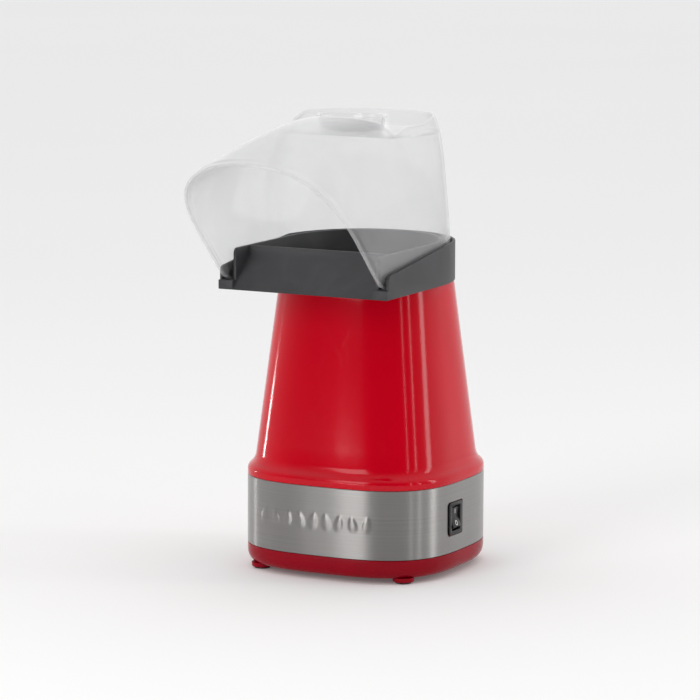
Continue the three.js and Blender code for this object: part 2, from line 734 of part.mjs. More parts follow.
function hood() {
  const farY = mouthCrownY - through;
  const topZ = hoodTopZ + through;
  const outer = hoodForm(0, hoodFootZ);
  const shell = cut(outer, hoodForm(hoodSheet, hoodFootZ - 10));

  const mouthEdge = new THREE.SplineCurve([
    vector([collarFrontY + 10, hoodFootZ - 1]),
    vector([collarFrontY + 2, hoodFootZ + 2.6]),
    vector([collarFrontY - 9, hoodFootZ + 9.7]),
    vector([mouthCrownY + 54.6, mouthCrownZ - 64.5]),
    vector([mouthCrownY + 24.8, mouthCrownZ - 34.2]),
    vector([mouthCrownY + 6.1, mouthCrownZ - 9.1]),
    vector([mouthCrownY, mouthCrownZ + 2]),
  ]);
  const edge = mouthEdge.getPoints(24).map(({ x, y }) => [x, y]);
  const front = [[farY, hoodFootZ - 20], [collarFrontY + 10, hoodFootZ - 20], ...edge, [farY, topZ]];
  const mouthSpace = sidePrism(front, -hoodHalfWidth * 2, hoodHalfWidth * 2);

  const span = hoodHalfWidth * 2;
  const floorBackY = hoodBackY + 1;
  const floor = block(
    [span, floorBackY - pocketFrontY + hoodSheet, hoodSheet],
    [0, (floorBackY + pocketFrontY - hoodSheet) / 2, pocketFloorZ - hoodSheet / 2],
  );
  const frontWallHeight = topZ - pocketFloorZ;
  const frontWall = block(
    [span, hoodSheet, frontWallHeight],
    [0, pocketFrontY - hoodSheet / 2, pocketFloorZ + frontWallHeight / 2],
  );
  const closing = join(floor, frontWall).intersect(outer);

  const openingEndY = pocketFrontY + pocketRoofLength;
  const opening = block(
    [pocketHalfWidth * 2, openingEndY - pocketFrontY, frontWallHeight],
    [0, (openingEndY + pocketFrontY) / 2, pocketFloorZ + frontWallHeight / 2],
  );
  const rimEdge = new THREE.SplineCurve([
    vector([pocketFrontY + 14, scoopZ + 1]),
    vector([pocketFrontY + 24, scoopZ]),
    vector([pocketFrontY + 42, scoopZ + 1.5]),
    vector([pocketFrontY + 56, hoodRimZ - 1.6]),
    vector([pocketFrontY + 68, hoodRimZ]),
  ]);
  const above = [
    [pocketFrontY, topZ],
    [pocketFrontY, hoodFootZ + hoodRimCrest],
    [pocketFrontY + 5, scoopZ + 4],
    ...rimEdge.getPoints(14).map(({ x, y }) => [x, y]),
    [hoodBackY + 5, hoodRimZ],
    [hoodBackY + 5, topZ],
  ];
  const rimSpace = sidePrism(above, -span, span);
  return cut(join(cut(shell, mouthSpace), closing), opening, rimSpace);
}

function cupLoop(inset, z) {
  const steps = 36;
  const centreY = pocketFrontY + cupFrontClearance + cupHalfDepth;
  return Array.from({ length: steps }, (_, i) => {
    const angle = (2 * Math.PI * i) / steps;
    const x = (cupHalfWidth - inset) * Math.cos(angle);
    return [x, centreY + (cupHalfDepth - inset) * Math.sin(angle), z];
  });
}

function measuringCup() {
  const bottomZ = pocketFloorZ + gap;
  const topZ = bottomZ + cupHeight;
  const rimDepth = 2;
  const outer = loft([
    cupLoop(cupDraft + 2.5, bottomZ),
    cupLoop(cupDraft + 0.6, bottomZ + 2),
    cupLoop(1.6, topZ - rimDepth),
    cupLoop(0, topZ - rimDepth),
    cupLoop(0, topZ),
  ]);
  const inner = loft([
    cupLoop(cupDraft + 2.5 + cupWall, bottomZ + cupWall),
    cupLoop(cupDraft + 0.6 + cupWall, bottomZ + 2 + cupWall),
    cupLoop(1.6 + cupWall, topZ + 1),
  ]);
  return cut(outer, inner);
}

add("hood", "clear", hood());
add("measuring_cup", "clear", measuringCup());

// ---- Switch -------------------------------------------------------------------------------

const switchFaceX = baseHalfWidth + 0.3;
const switchGroup = new THREE.Group();
switchGroup.position.set(switchFaceX, switchY, switchZ);
tower.add(switchGroup);

// In the switch group X = 0 is the face of the bezel, and the pieces reach inwards from it.
function switchBezel() {
  const plate = sidePrism(roundedRectangle(bezelWidth, bezelHeight, bezelCorner), -bezelThickness, 0);
  const boxWidth = bezelWidth - 3.6;
  const boxHeight = bezelHeight - 3.6;
  const boxOutline = roundedRectangle(boxWidth, boxHeight, bezelCorner);
  const box = sidePrism(boxOutline, -switchHousingDepth, -bezelThickness + 0.5);
  const openWidth = rockerWidth + 2 * running;
  const openHeight = rockerHeight + 5 * running;
  const pocketDepth = rockerPivotDepth + 8;
  const pocket = block([pocketDepth * 2, openWidth, openHeight], [0, 0, 0]);
  const pivotLength = openWidth / 2 + 1.8;
  const pivotHole = rodAlong("y", 1.8, -pivotLength, pivotLength, [-rockerPivotDepth, 0, 0]);
  return cut(join(plate, box), pocket, pivotHole);
}

function switchRocker() {
  const half = rockerHeight / 2;
  const outline = [
    ...arc([rockerPivotDepth - 1.2, half - 1.6], 1.6, 70, 20, 2),
    [rockerPivotDepth - rockerDip, 1.5],
    [rockerPivotDepth - rockerDip, -1.5],
    ...arc([rockerPivotDepth - 1.2, -half + 1.6], 1.6, -20, -70, 2),
    [0, -half * 0.86],
    [-3, -half * 0.5],
    [-3, half * 0.5],
    [0, half * 0.86],
  ];
  const options = { depth: rockerWidth, bevelEnabled: false };
  const geometry = new THREE.ExtrudeGeometry(new THREE.Shape(outline.map(vector)), options);
  geometry.rotateX(Math.PI / 2).translate(0, rockerWidth / 2, 0);
  const pinLength = rockerWidth / 2 + 1.6;
  const pin = rodAlong("y", 1.2, -pinLength, pinLength, [0, 0, 0]);
  return join(solidOf(geometry), pin);
}

add("switch_bezel", "black", switchBezel(), switchGroup);
const rocker = add("switch_rocker", "black", switchRocker(), switchGroup);
rocker.position.x = -rockerPivotDepth;
rocker.rotation.y = THREE.MathUtils.degToRad(rockerRestDegrees);

const terminalGap = 6;
for (const [name, side] of [["front", -1], ["back", 1]]) {
  const centre = [-switchHousingDepth - 4 - gap - 0.5, side * terminalGap, 0];
  add(`switch_terminal_${name}`, "brass", block([8, 0.8, 6.3], centre), switchGroup);
}

// ---- Cord gland ---------------------------------------------------------------------------

function cordGland() {
  const outerY = baseHalfDepth - gap;
  const wallY = baseHalfDepth * ((baseHalfWidth - 1.2) / baseHalfWidth);
  const innerY = (linerRadius - wall) * depthRatio - 5;
  const flangeEndY = outerY + glandFlangeThickness + 0.6;
  const barrel = rodAlong("y", glandBarrel, innerY - 2, wallY + 2, [0, 0, glandZ], 20);
  const flange = rodAlong("y", glandFlange, outerY + 0.6, flangeEndY, [0, 0, glandZ], 20);
  const bore = rodAlong("y", glandBore, 0, baseHalfDepth + through, [0, 0, glandZ], 20);
  return cut(join(barrel, flange), bore);
}

add("cord_gland", "black", cordGland());

// ---- Chassis, motor and fan ---------------------------------------------------------------

function chassis() {
  let plate = rod(chassisRadius, chassisPlateZ, chassisTopZ, 0, 0, roundSides);
  const ventRadius = chassisRadius * 0.22;
  const ventPlace = chassisRadius * 0.56;
  for (let i = 0; i < 4; i += 1) {
    const angle = (Math.PI / 2) * i;
    const x = ventPlace * Math.cos(angle);
    const y = ventPlace * Math.sin(angle);
    plate = cut(plate, rod(ventRadius, chassisPlateZ - 1, chassisTopZ + 1, x, y, 20));
  }
  for (const [, x, y] of corners) {
    const floorZ = undersideZ + wall + gap;
    const leg = rod(legRadius, floorZ, chassisPlateZ + 1, x * legPlace, y * legPlace);
    const pilot = rod(screwHole, floorZ - 1, floorZ + legPilotDepth, x * legPlace, y * legPlace);
    plate = cut(join(plate, leg), pilot);
  }
  const motorHoles = [-1, 1].map((side) =>
    rod(1.5, chassisPlateZ - 1, chassisTopZ + 1, side * motorScrewCircle, 0, 10),
  );
  return cut(plate, rod(shaftRadius + 1.6, chassisPlateZ - 1, chassisTopZ + 1), ...motorHoles);
}

function motorCan() {
  const inner = motorRadius - motorSheet;
  const shaftHole = shaftRadius + running;
  const can = solidOf(
    turned([
      [inner, motorBottomZ],
      [motorRadius, motorBottomZ],
      [motorRadius, motorTopZ],
      [shaftHole, motorTopZ],
      [shaftHole, motorTopZ - motorSheet],
      [inner, motorTopZ - motorSheet],
      [inner, motorBottomZ],
    ]),
  );
  const holes = [-1, 1].map((side) =>
    rod(1.5, motorTopZ - 3, motorTopZ + 1, side * motorScrewCircle, 0, 10),
  );
  return cut(can, ...holes);
}

const boardTopZ = motorBottomZ - gap - endCapThickness - boardDrop + boardThickness;

function motorEndCap() {
  const topZ = motorBottomZ - gap;
  const bottomZ = topZ - endCapThickness;
  const cap = ring(shaftRadius + gap, motorRadius, bottomZ, topZ);
  const tabs = [-1, 1].map((side) => rod(1, boardTopZ + gap, bottomZ + 1, side * 12, 0, 8));
  return join(cap, ...tabs);
}

add("chassis", "charcoal", chassis());
add("motor_can", "zinc", motorCan());
add("motor_end_cap", "black", motorEndCap());

const magnetOuter = motorRadius - motorSheet - gap;
const magnetInner = magnetOuter - magnetThickness;
const armatureRadius = magnetInner - armatureClearance;
const armatureBottomZ = motorBottomZ + armatureInset;
const armatureTopZ = motorTopZ - armatureInset;
const shaftBore = shaftRadius + gap;
const magnet = ring(magnetInner, magnetOuter, armatureBottomZ, armatureTopZ, 24);
add("motor_magnet", "rubber", magnet);
add("motor_armature", "copper", ring(shaftBore, armatureRadius, armatureBottomZ, armatureTopZ, 24));
const topBushZ = motorTopZ - motorSheet - gap;
add("motor_bush_top", "brass", ring(shaftBore, bushRadius, topBushZ - bushHeight, topBushZ, 16));
add("motor_bush_bottom", "brass", ring(shaftBore, bushRadius, motorBottomZ, motorBottomZ + bushHeight, 16));
add("motor_shaft", "zinc", rod(shaftRadius, motorBottomZ - 2, fanTopZ - 2));

for (const [name, side] of [["left", -1], ["right", 1]]) {
  const x = side * motorScrewCircle;
  const head = rod(2.5, chassisTopZ + gap, chassisTopZ + gap + 1.6, x, 0, 12);
  const shank = rod(1.2, motorTopZ - 4, chassisTopZ + gap + 0.5, x, 0, 10);
  add(`motor_screw_${name}`, "zinc", join(head, shank));
}

function fanImpeller() {
  let fan = join(
    rod(fanRadius, fanBottomZ, fanBottomZ + fanDisc, 0, 0, roundSides),
    rod(fanHubRadius, fanBottomZ, fanTopZ, 0, 0, 20),
  );
  const bladeLength = fanRadius - fanHubRadius;
  const bladeHeight = fanHeight - fanDisc - 1;
  const blade = new THREE.BoxGeometry(bladeLength, bladeThickness, bladeHeight);
  blade.translate(bladeLength / 2 + fanHubRadius - 0.5, 0, fanBottomZ + fanDisc + bladeHeight / 2 - 0.5);
  for (let i = 0; i < bladeCount; i += 1) {
    fan = join(fan, solidOf(blade.clone().rotateZ((2 * Math.PI * i) / bladeCount)));
  }
  return cut(fan, rod(shaftBore, fanBottomZ - 1, fanTopZ + 1));
}

add("fan_impeller", "white", fanImpeller());

// ---- Rectifier board ----------------------------------------------------------------------

const boardCentreZ = boardTopZ - boardThickness / 2;
add("rectifier_board", "board", block([boardWidth, boardDepth, boardThickness], [0, 0, boardCentreZ]));
const diodeZ = boardTopZ - boardThickness - gap - 1.5;
for (let i = 0; i < 4; i += 1) {
  const y = (i - 1.5) * 5;
  add(`diode_${i + 1}`, "black", rodAlong("x", 1.5, -3, 3, [0, y, diodeZ], 10));
}

// ---- Duct, heater and popping chamber -----------------------------------------------------

const chamberRadiusAt = (z) =>
  chamberRadius - (chamberDraft * (chamberTopZ - z)) / chamberHeight;

function poppingChamber() {
  const bottomRadius = chamberRadiusAt(chamberBottomZ + chamberCorner);
  const bend = arc(
    [bottomRadius - chamberCorner, chamberBottomZ + chamberCorner],
    chamberCorner,
    -90,
    0,
    3,
  );
  const innerBend = arc(
    [bottomRadius - chamberCorner, chamberBottomZ + chamberCorner],
    chamberCorner - chamberSheet,
    0,
    -90,
    3,
  );
  const coneRise = 8;
  const profile = [
    [0, chamberBottomZ + coneRise],
    ...bend,
    [chamberRadius, chamberTopZ - chamberSheet],
    [chamberRimRadius, chamberTopZ - chamberSheet],
    [chamberRimRadius, chamberTopZ],
    [chamberRadius - chamberSheet, chamberTopZ],
    ...innerBend,
    [0, chamberBottomZ + coneRise + chamberSheet],
  ];
  let chamber = solidOf(turned(profile));
  const louvreZ = chamberBottomZ + chamberCorner + 3 + louvreHeight / 2;
  const louvreRadius = chamberRadiusAt(louvreZ);
  for (let i = 0; i < louvreCount; i += 1) {
    const angle = (2 * Math.PI * i) / louvreCount;
    const place = [louvreRadius * Math.cos(angle), louvreRadius * Math.sin(angle), louvreZ];
    chamber = cut(chamber, block([8, louvreWidth, louvreHeight], place, angle + louvreTurn));
  }
  return chamber;
}

add("popping_chamber", "aluminium", poppingChamber());
add("air_duct", "zinc", ring(ductRadius, ductRadius + ductSheet, ductBottomZ, ductTopZ));

const sealBottomZ = ductTopZ + gap;
const sealInner = chamberRadiusAt(sealBottomZ + sealRingHeight) + gap;
const sealOuter = ductRadius + ductSheet + 1.5;
const sealTopZ = sealBottomZ + sealRingHeight;
add("chamber_seal_ring", "zinc", ring(sealInner, sealOuter, sealBottomZ, sealTopZ));

const heaterHeight = heaterTopZ - heaterBottomZ;
const dropperBottomZ = heaterTopZ - heaterHeight * dropperHeightShare;
const coilRadius = ductRadius - coilInset;
const dropperRadius = coilRadius * dropperShare;

function heaterFrame() {
  const tabHeight = 4;
  const clear = coilWire + gap * 2;
  const mainHeight = dropperBottomZ - heaterBottomZ;
  const leaf = (turn) =>
    join(
      block(
        [2 * (ductRadius - gap), micaThickness, tabHeight],
        [0, 0, heaterBottomZ + tabHeight / 2],
        turn,
      ),
      block(
        [2 * (coilRadius - clear), micaThickness, mainHeight],
        [0, 0, heaterBottomZ + mainHeight / 2],
        turn,
      ),
      block(
        [2 * (dropperRadius - clear), micaThickness, heaterHeight],
        [0, 0, heaterBottomZ + heaterHeight / 2],
        turn,
      ),
    );
  return join(leaf(Math.PI / 4), leaf(-Math.PI / 4));
}

// A coil of wire that winds upwards between two heights.
function coil(radius, turns, fromZ, toZ) {
  const stepsPerTurn = 16;
  const steps = turns * stepsPerTurn;
  const points = Array.from({ length: steps + 1 }, (_, i) => {
    const angle = (2 * Math.PI * i) / stepsPerTurn;
    const z = THREE.MathUtils.lerp(fromZ, toZ, i / steps);
    return [radius * Math.cos(angle), radius * Math.sin(angle), z];
  });
  return wire(points, coilWire, steps, 6);
}

add("heater_frame", "mica", heaterFrame());
const mainCoilBottomZ = heaterBottomZ + 8;
const mainCoilTopZ = dropperBottomZ - 3;
add("heater_coil", "heating", coil(coilRadius, coilTurns, mainCoilBottomZ, mainCoilTopZ));
const dropperCoilBottomZ = dropperBottomZ + 2;
const dropperCoilTopZ = heaterTopZ - 2;
add("dropper_coil", "heating", coil(dropperRadius, dropperTurns, dropperCoilBottomZ, dropperCoilTopZ));

const thermostatZ = (heaterBottomZ + heaterTopZ) / 2;
const thermostatX = ductRadius + ductSheet + gap;
const thermostatEndX = thermostatX + thermostatDepth;
const thermostat = rodAlong(
  "x",
  thermostatRadius,
  thermostatX,
  thermostatEndX,
  [0, 0, thermostatZ],
  20,
);
add("thermostat", "white", thermostat);
const fuseY = ductRadius + ductSheet + gap + fuseRadius;
const fuse = rod(fuseRadius, thermostatZ - fuseLength / 2, thermostatZ + fuseLength / 2, 0, fuseY);
add("thermal_fuse", "zinc", fuse);

// ---- Internal leads -----------------------------------------------------------------------

const terminalEndX = switchFaceX - switchHousingDepth - 8 - gap - 0.5;
const leadStartX = terminalEndX - gap - leadRadius;
const heaterLead = [
  [leadStartX, switchY + terminalGap, switchZ],
  [leadStartX - 5, switchY + terminalGap + 4, switchZ + 14],
  [thermostatEndX + 4, -3, thermostatZ - 45],
  [thermostatEndX + 2, 0, thermostatZ - 22],
  [thermostatEndX - 3, 0, thermostatZ - thermostatRadius - gap],
];
add("lead_to_heater", "white", wire(heaterLead, leadRadius, 22));

const boardLead = [
  [leadStartX, switchY - terminalGap, switchZ],
  [leadStartX - 6, switchY - terminalGap - 1, switchZ - 15],
  [(leadStartX + boardWidth / 2) / 2, switchY - 2, boardCentreZ + 6],
  [boardWidth / 2 + 8, -10, boardCentreZ],
  [boardWidth / 2 + gap + 0.2, -6, boardCentreZ],
];
add("lead_to_board", "black", wire(boardLead, leadRadius, 22));

// The group's origin is under the middle of the whole appliance.
const backY = baseHalfDepth + glandFlangeThickness + 0.3;
tower.position.y = -(mouthCrownY + backY) / 2;

const popcornMaker = new THREE.Group();
popcornMaker.add(tower);

export default popcornMaker;
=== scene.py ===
"""Hot-air popcorn maker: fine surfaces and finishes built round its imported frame.

Sizes are millimetres in the tower's own frame: the tower's axis stands at x = y = 0, the chute
opens towards -y and the feet stand on z = 0. Bench turns them into the frame's metres. Sizes that
the frame already holds are read from its boxes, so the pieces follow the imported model.
"""

from __future__ import annotations

import json
import logging
import math
from abc import ABC, abstractmethod
from dataclasses import dataclass
from enum import Enum
from typing import Callable, Iterable, Optional, Sequence, Union

import bmesh
import bpy
from mathutils import Matrix, Vector

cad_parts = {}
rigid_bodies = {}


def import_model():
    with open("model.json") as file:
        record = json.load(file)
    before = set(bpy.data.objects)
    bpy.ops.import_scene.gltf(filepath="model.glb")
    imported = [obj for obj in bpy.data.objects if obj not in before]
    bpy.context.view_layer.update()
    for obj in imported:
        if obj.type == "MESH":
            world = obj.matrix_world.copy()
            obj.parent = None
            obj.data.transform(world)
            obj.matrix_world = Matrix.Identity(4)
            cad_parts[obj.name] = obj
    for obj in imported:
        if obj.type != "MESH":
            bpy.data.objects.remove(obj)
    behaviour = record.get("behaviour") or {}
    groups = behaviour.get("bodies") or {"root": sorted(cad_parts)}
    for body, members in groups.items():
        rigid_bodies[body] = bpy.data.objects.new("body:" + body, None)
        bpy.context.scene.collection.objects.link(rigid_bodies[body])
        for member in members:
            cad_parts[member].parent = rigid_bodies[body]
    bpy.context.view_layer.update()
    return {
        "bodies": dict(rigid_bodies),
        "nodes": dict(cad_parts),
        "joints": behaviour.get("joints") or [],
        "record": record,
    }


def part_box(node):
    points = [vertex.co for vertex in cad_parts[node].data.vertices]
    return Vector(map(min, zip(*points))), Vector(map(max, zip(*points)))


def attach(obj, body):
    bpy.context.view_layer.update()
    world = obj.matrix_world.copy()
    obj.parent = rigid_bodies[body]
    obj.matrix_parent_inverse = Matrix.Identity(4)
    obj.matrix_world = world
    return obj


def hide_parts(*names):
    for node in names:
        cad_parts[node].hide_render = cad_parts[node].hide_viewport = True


LOG = logging.getLogger("popcorn_maker")
MM = 0.001
SHARP_ANGLE = math.radians(38)

Pair = tuple[float, float]
Point = tuple[float, float, float]
Colour = tuple[float, float, float]

CORNERS = ("front_left", "front_right", "back_left", "back_right")


class Body(str, Enum):
    """The bodies that pieces ride on."""

    TOWER = "tower"
    HOOD = "hood"
    CUP = "cup"
    ROCKER = "rocker"


class Slot(str, Enum):
    """The record's material slots."""

    RED_SHELL = "red_shell"
    RED_BASE = "red_base"
    STEEL_BAND = "steel_band"
    COLLAR = "collar_plastic"
    CLEAR_HOOD = "clear_hood"
    CLEAR_CUP = "clear_cup"
    BLACK = "black_plastic"
    RUBBER = "rubber_feet"
    CHAMBER = "chamber_metal"
    PLATED = "plated_steel"
    MICA = "mica_board"
    HEATING = "heating_wire"
    WHITE = "white_plastic"
    BOARD = "circuit_board"
    BRASS = "brass"
    COPPER = "copper_winding"
    FERRITE = "ferrite"


# ---- Numbers and outlines -----------------------------------------------------------------


def lerp(start: float, end: float, share: float) -> float:
    """The value at a share of the way from start to end."""
    return start + (end - start) * share


def share_of(value: float, start: float, end: float) -> float:
    """How far a value has come from start to end, from 0 to 1."""
    return min(1.0, max(0.0, (value - start) / (end - start)))


def smooth(value: float, start: float, end: float) -> float:
    """A smooth step from 0 at start to 1 at end."""
    share = share_of(value, start, end)
    return share * share * (3 - 2 * share)


def all_round(steps: int) -> list[float]:
    """Directions spread evenly round a circle."""
    return [2 * math.pi * i / steps for i in range(steps)]


def oval_point(angle: float, half_x: float, half_y: float, power: float) -> Pair:
    """The point of a squared oval in a direction.

    Args:
        angle: The direction, from +x.
        half_x: Half-width.
        half_y: Half-depth.
        power: Exponent; 2 is an ellipse, and more is squarer.

    Returns:
        The point.
    """
    across, along = math.cos(angle), math.sin(angle)
    reach = (abs(across / half_x) ** power + abs(along / half_y) ** power) ** (-1 / power)
    return (reach * across, reach * along)


def moved(outline: Iterable[Pair], turn: float, centre: Pair) -> list[Pair]:
    """An outline turned by an angle and then moved to a centre."""
    c, s, (x, y) = math.cos(turn), math.sin(turn), centre
    return [(x + a * c - b * s, y + a * s + b * c) for a, b in outline]


def rounded(corners: Sequence[Point], closed: bool = True, steps: int = 4) -> list[Pair]:
    """An outline whose corners are rounded, each by its own radius.

    Args:
        corners: Corners as (x, y, radius).
        closed: Whether the last corner joins the first.
        steps: Steps round each rounded corner.

    Returns:
        The outline's points.
    """
    points: list[Pair] = []
    count = len(corners)
    for i, (x, y, radius) in enumerate(corners):
        here = Vector((x, y))
        if radius <= 0 or (not closed and i in (0, count - 1)):
            points.append((x, y))
            continue
        before = Vector(corners[i - 1][:2]) - here
        after = Vector(corners[(i + 1) % count][:2]) - here
        reach = radius / math.tan(before.angle(after) / 2)
        reach = min(reach, before.length * 0.49, after.length * 0.49)
        start = here + before.normalized() * reach
        end = here + after.normalized() * reach
        for step in range(steps + 1):
            share = step / steps
            bent = start.lerp(here, share).lerp(here.lerp(end, share), share)
            points.append((bent.x, bent.y))
    return points


def section(*corners: Point, steps: int = 4) -> list[Pair]:
    """An open profile whose corners, given as (x, y, radius), are rounded."""
    return rounded(corners, closed=False, steps=steps)


def rectangle(width: float, height: float, radius: float, centre: Pair = (0, 0)) -> list[Pair]:
    """A rounded rectangle's outline."""
    x, y = centre
    signs = [(1, 1), (-1, 1), (-1, -1), (1, -1)]
    return rounded([(x + i * width / 2, y + j * height / 2, radius) for i, j in signs], steps=6)


def bezier(a: Pair, b: Pair, c: Pair, d: Pair, steps: int) -> list[Pair]:
    """Points along a cubic curve, both ends included."""
    points = []
    for i in range(steps + 1):
        t = i / steps
        weights = ((1 - t) ** 3, 3 * t * (1 - t) ** 2, 3 * t * t * (1 - t), t**3)
        points.append(tuple(sum(w * p[k] for w, p in zip(weights, (a, b, c, d))) for k in (0, 1)))
    return points


def spline(points: Sequence[Pair], steps: int) -> list[Pair]:
    """Points along a smooth curve that passes through the given ones.

    Args:
        points: Points that the curve passes through.
        steps: Steps between two of them.

    Returns:
        The curve's points, both ends included.
    """
    curve: list[Pair] = []
    last = len(points) - 1
    for i in range(last):
        a, b = points[max(0, i - 1)], points[i]
        c, d = points[i + 1], points[min(last, i + 2)]
        for step in range(steps):
            t = step / steps
            curve.append(
                tuple(
                    b[k]
                    + 0.5 * t * (c[k] - a[k])
                    + t * t * (a[k] - 2.5 * b[k] + 2 * c[k] - 0.5 * d[k])
                    + t**3 * (1.5 * (b[k] - c[k]) + 0.5 * (d[k] - a[k]))
                    for k in (0, 1)
                )
            )
    return curve + [tuple(points[last])]


def solve(below: Callable[[float], bool], low: float, high: float) -> float:
    """The value where below turns from true to false, by halving."""
    for _ in range(40):
        middle = (low + high) / 2
        if below(middle):
            low = middle
        else:
            high = middle
    return (low + high) / 2


# ---- Meshes -------------------------------------------------------------------------------


@dataclass(frozen=True)
class Bench:
    """Turns the tower's millimetres into the frame's metres.

    Attributes:
        axis_y: The tower's axis in the frame, in metres.
    """

    axis_y: float

    @classmethod
    def from_frame(cls) -> "Bench":
        """The bench whose axis is the middle of the body shell."""
        low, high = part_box("body_shell")
        return cls((low.y + high.y) / 2)

    def place(self, point: Sequence[float]) -> Vector:
        """A point of the tower, in the frame."""
        return Vector(point) * MM + Vector((0, self.axis_y, 0))

    def own(self, point: Sequence[float]) -> Vector:
        """A point of the frame, in the tower's millimetres."""
        return (Vector(point) - Vector((0, self.axis_y, 0))) / MM

    def box(self, node: str) -> tuple[Vector, Vector]:
        """A node's lowest and highest corners, in the tower's millimetres."""
        low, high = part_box(node)
        return self.own(low), self.own(high)


def linked(name: str, data: bpy.types.ID) -> bpy.types.Object:
    """A new object that holds the data, linked to the scene."""
    piece = bpy.data.objects.new(name, data)
    bpy.context.scene.collection.objects.link(piece)
    return piece


def clean(data: bpy.types.Mesh, apart: float, flat: float = 0) -> None:
    """Joins doubled points and turns a mesh's faces outwards.

    Args:
        data: The mesh that is changed.
        apart: Points closer than this are joined, in metres.
        flat: Edges flatter than this many degrees are dissolved, unless it is 0.
    """
    shape = bmesh.new()
    shape.from_mesh(data)
    bmesh.ops.remove_doubles(shape, verts=shape.verts, dist=apart)
    if flat:
        limit = math.radians(flat)
        bmesh.ops.dissolve_limit(shape, angle_limit=limit, verts=shape.verts, edges=shape.edges)
    bmesh.ops.recalc_face_normals(shape, faces=shape.faces)
    shape.to_mesh(data)
    shape.free()


def mirrored(lines: Sequence[Sequence[Point]]) -> list[list[Point]]:
    """The lines' mirror images on the left side, in reverse order."""
    return [[(-x, y, z) for x, y, z in line] for line in reversed(lines)]


class Skin:
    """Points and faces that are being gathered for one mesh."""

    def __init__(self) -> None:
        """Starts empty."""
        self.points: list[Point] = []
        self.faces: list[tuple[int, ...]] = []

    def row(self, points: Iterable[Point]) -> list[int]:
        """Adds points and returns their numbers."""
        start = len(self.points)
        self.points.extend(points)
        return list(range(start, len(self.points)))

    def bridge(self, lower: Sequence[int], upper: Sequence[int], closed: bool = True) -> None:
        """Adds quads between two rows of the same count."""
        count = len(lower)
        for i in range(count if closed else count - 1):
            j = (i + 1) % count
            self.faces.append((lower[i], lower[j], upper[j], upper[i]))

    def strip(self, rows: Iterable[Iterable[Point]], closed: bool = True) -> list[list[int]]:
        """Adds rows with quads between each two.

        Args:
            rows: Rows of points, all of the same count.
            closed: Whether each row is a ring.

        Returns:
            The rows' point numbers.
        """
        numbers = [self.row(points) for points in rows]
        for lower, upper in zip(numbers, numbers[1:]):
            self.bridge(lower, upper, closed)
        return numbers

    def ring(self, rows: Iterable[Iterable[Point]]) -> "Skin":
        """Adds rings, closes the last one onto the first and returns the skin."""
        numbers = self.strip(rows)
        self.bridge(numbers[-1], numbers[0])
        return self

    def solid(self, rows: Iterable[Iterable[Point]]) -> "Skin":
        """Adds rings, closes both ends with a flat face and returns the skin."""
        numbers = self.strip(rows)
        self.faces += [tuple(reversed(numbers[0])), tuple(numbers[-1])]
        return self

    def lathe(
        self, profile: Sequence[Pair], steps: int, centre: Pair = (0, 0), hollow: bool = False
    ) -> "Skin":
        """Turns a profile of (radius, z) about an upright axis.

        Args:
            profile: The profile.
            steps: Number of points round the axis.
            centre: Where the axis stands.
            hollow: Whether the profile closes on itself, so that no flat ends are needed.

        Returns:
            The skin.
        """
        x, y = centre
        turns = all_round(steps)
        rows = [[(x + r * math.cos(t), y + r * math.sin(t), z) for t in turns] for r, z in profile]
        return self.ring(rows) if hollow else self.solid(rows)

    def prism(self, outline: Sequence[Pair], low: float, high: float, axis: str = "z") -> "Skin":
        """Pushes an outline along an axis; the outline is (x, y) for z and (y, z) for x."""
        if axis == "x":
            return self.solid([[(level, a, b) for a, b in outline] for level in (low, high)])
        return self.solid([[(a, b, level) for a, b in outline] for level in (low, high)])

    def add(self, other: "Skin") -> None:
        """Takes in another skin's points and faces."""
        start = len(self.points)
        self.points.extend(other.points)
        self.faces.extend(tuple(i + start for i in face) for face in other.faces)

    def turned(self, matrix: Matrix) -> "Skin":
        """Moves every point by a matrix and returns the skin."""
        self.points = [tuple(matrix @ Vector(point)) for point in self.points]
        return self

    def mesh(self, name: str, bench: Bench) -> bpy.types.Object:
        """Makes the object, in the frame's metres, with its faces turned outwards.

        Args:
            name: The object's name.
            bench: Turns millimetres into the frame's metres.

        Returns:
            The new object, linked to the scene.
        """
        data = bpy.data.meshes.new(name)
        data.from_pydata([bench.place(point) for point in self.points], [], self.faces)
        clean(data, 1e-7)
        return linked(name, data)


def settle(piece: bpy.types.Object) -> None:
    """Applies a piece's modifiers to its mesh."""
    bpy.context.view_layer.update()
    graph = bpy.context.evaluated_depsgraph_get()
    fresh = bpy.data.meshes.new_from_object(piece.evaluated_get(graph))
    piece.modifiers.clear()
    piece.data = fresh


def carve(piece: bpy.types.Object, tool: Skin, bench: Bench, operation: str = "DIFFERENCE") -> None:
    """Cuts a tool's solid out of a piece, or joins it on.

    Args:
        piece: The piece that is changed.
        tool: The cutting or joining solid.
        bench: Turns millimetres into the frame's metres.
        operation: DIFFERENCE or UNION.
    """
    solid = tool.mesh("tool", bench)
    change = piece.modifiers.new("carve", "BOOLEAN")
    change.operation = operation
    change.solver = "EXACT"
    change.object = solid
    settle(piece)
    bpy.data.objects.remove(solid)


def soften(piece: bpy.types.Object, width: float, segments: int = 3, angle: float = 40) -> None:
    """Rounds a piece's sharp edges.

    Args:
        piece: The piece that is changed.
        width: The rounding, in millimetres.
        segments: Steps across it.
        angle: Edges sharper than this many degrees are rounded.
    """
    change = piece.modifiers.new("soften", "BEVEL")
    change.width = width * MM
    change.segments = segments
    change.limit_method = "ANGLE"
    change.angle_limit = math.radians(angle)
    change.use_clamp_overlap = False
    change.miter_outer = "MITER_ARC"
    settle(piece)


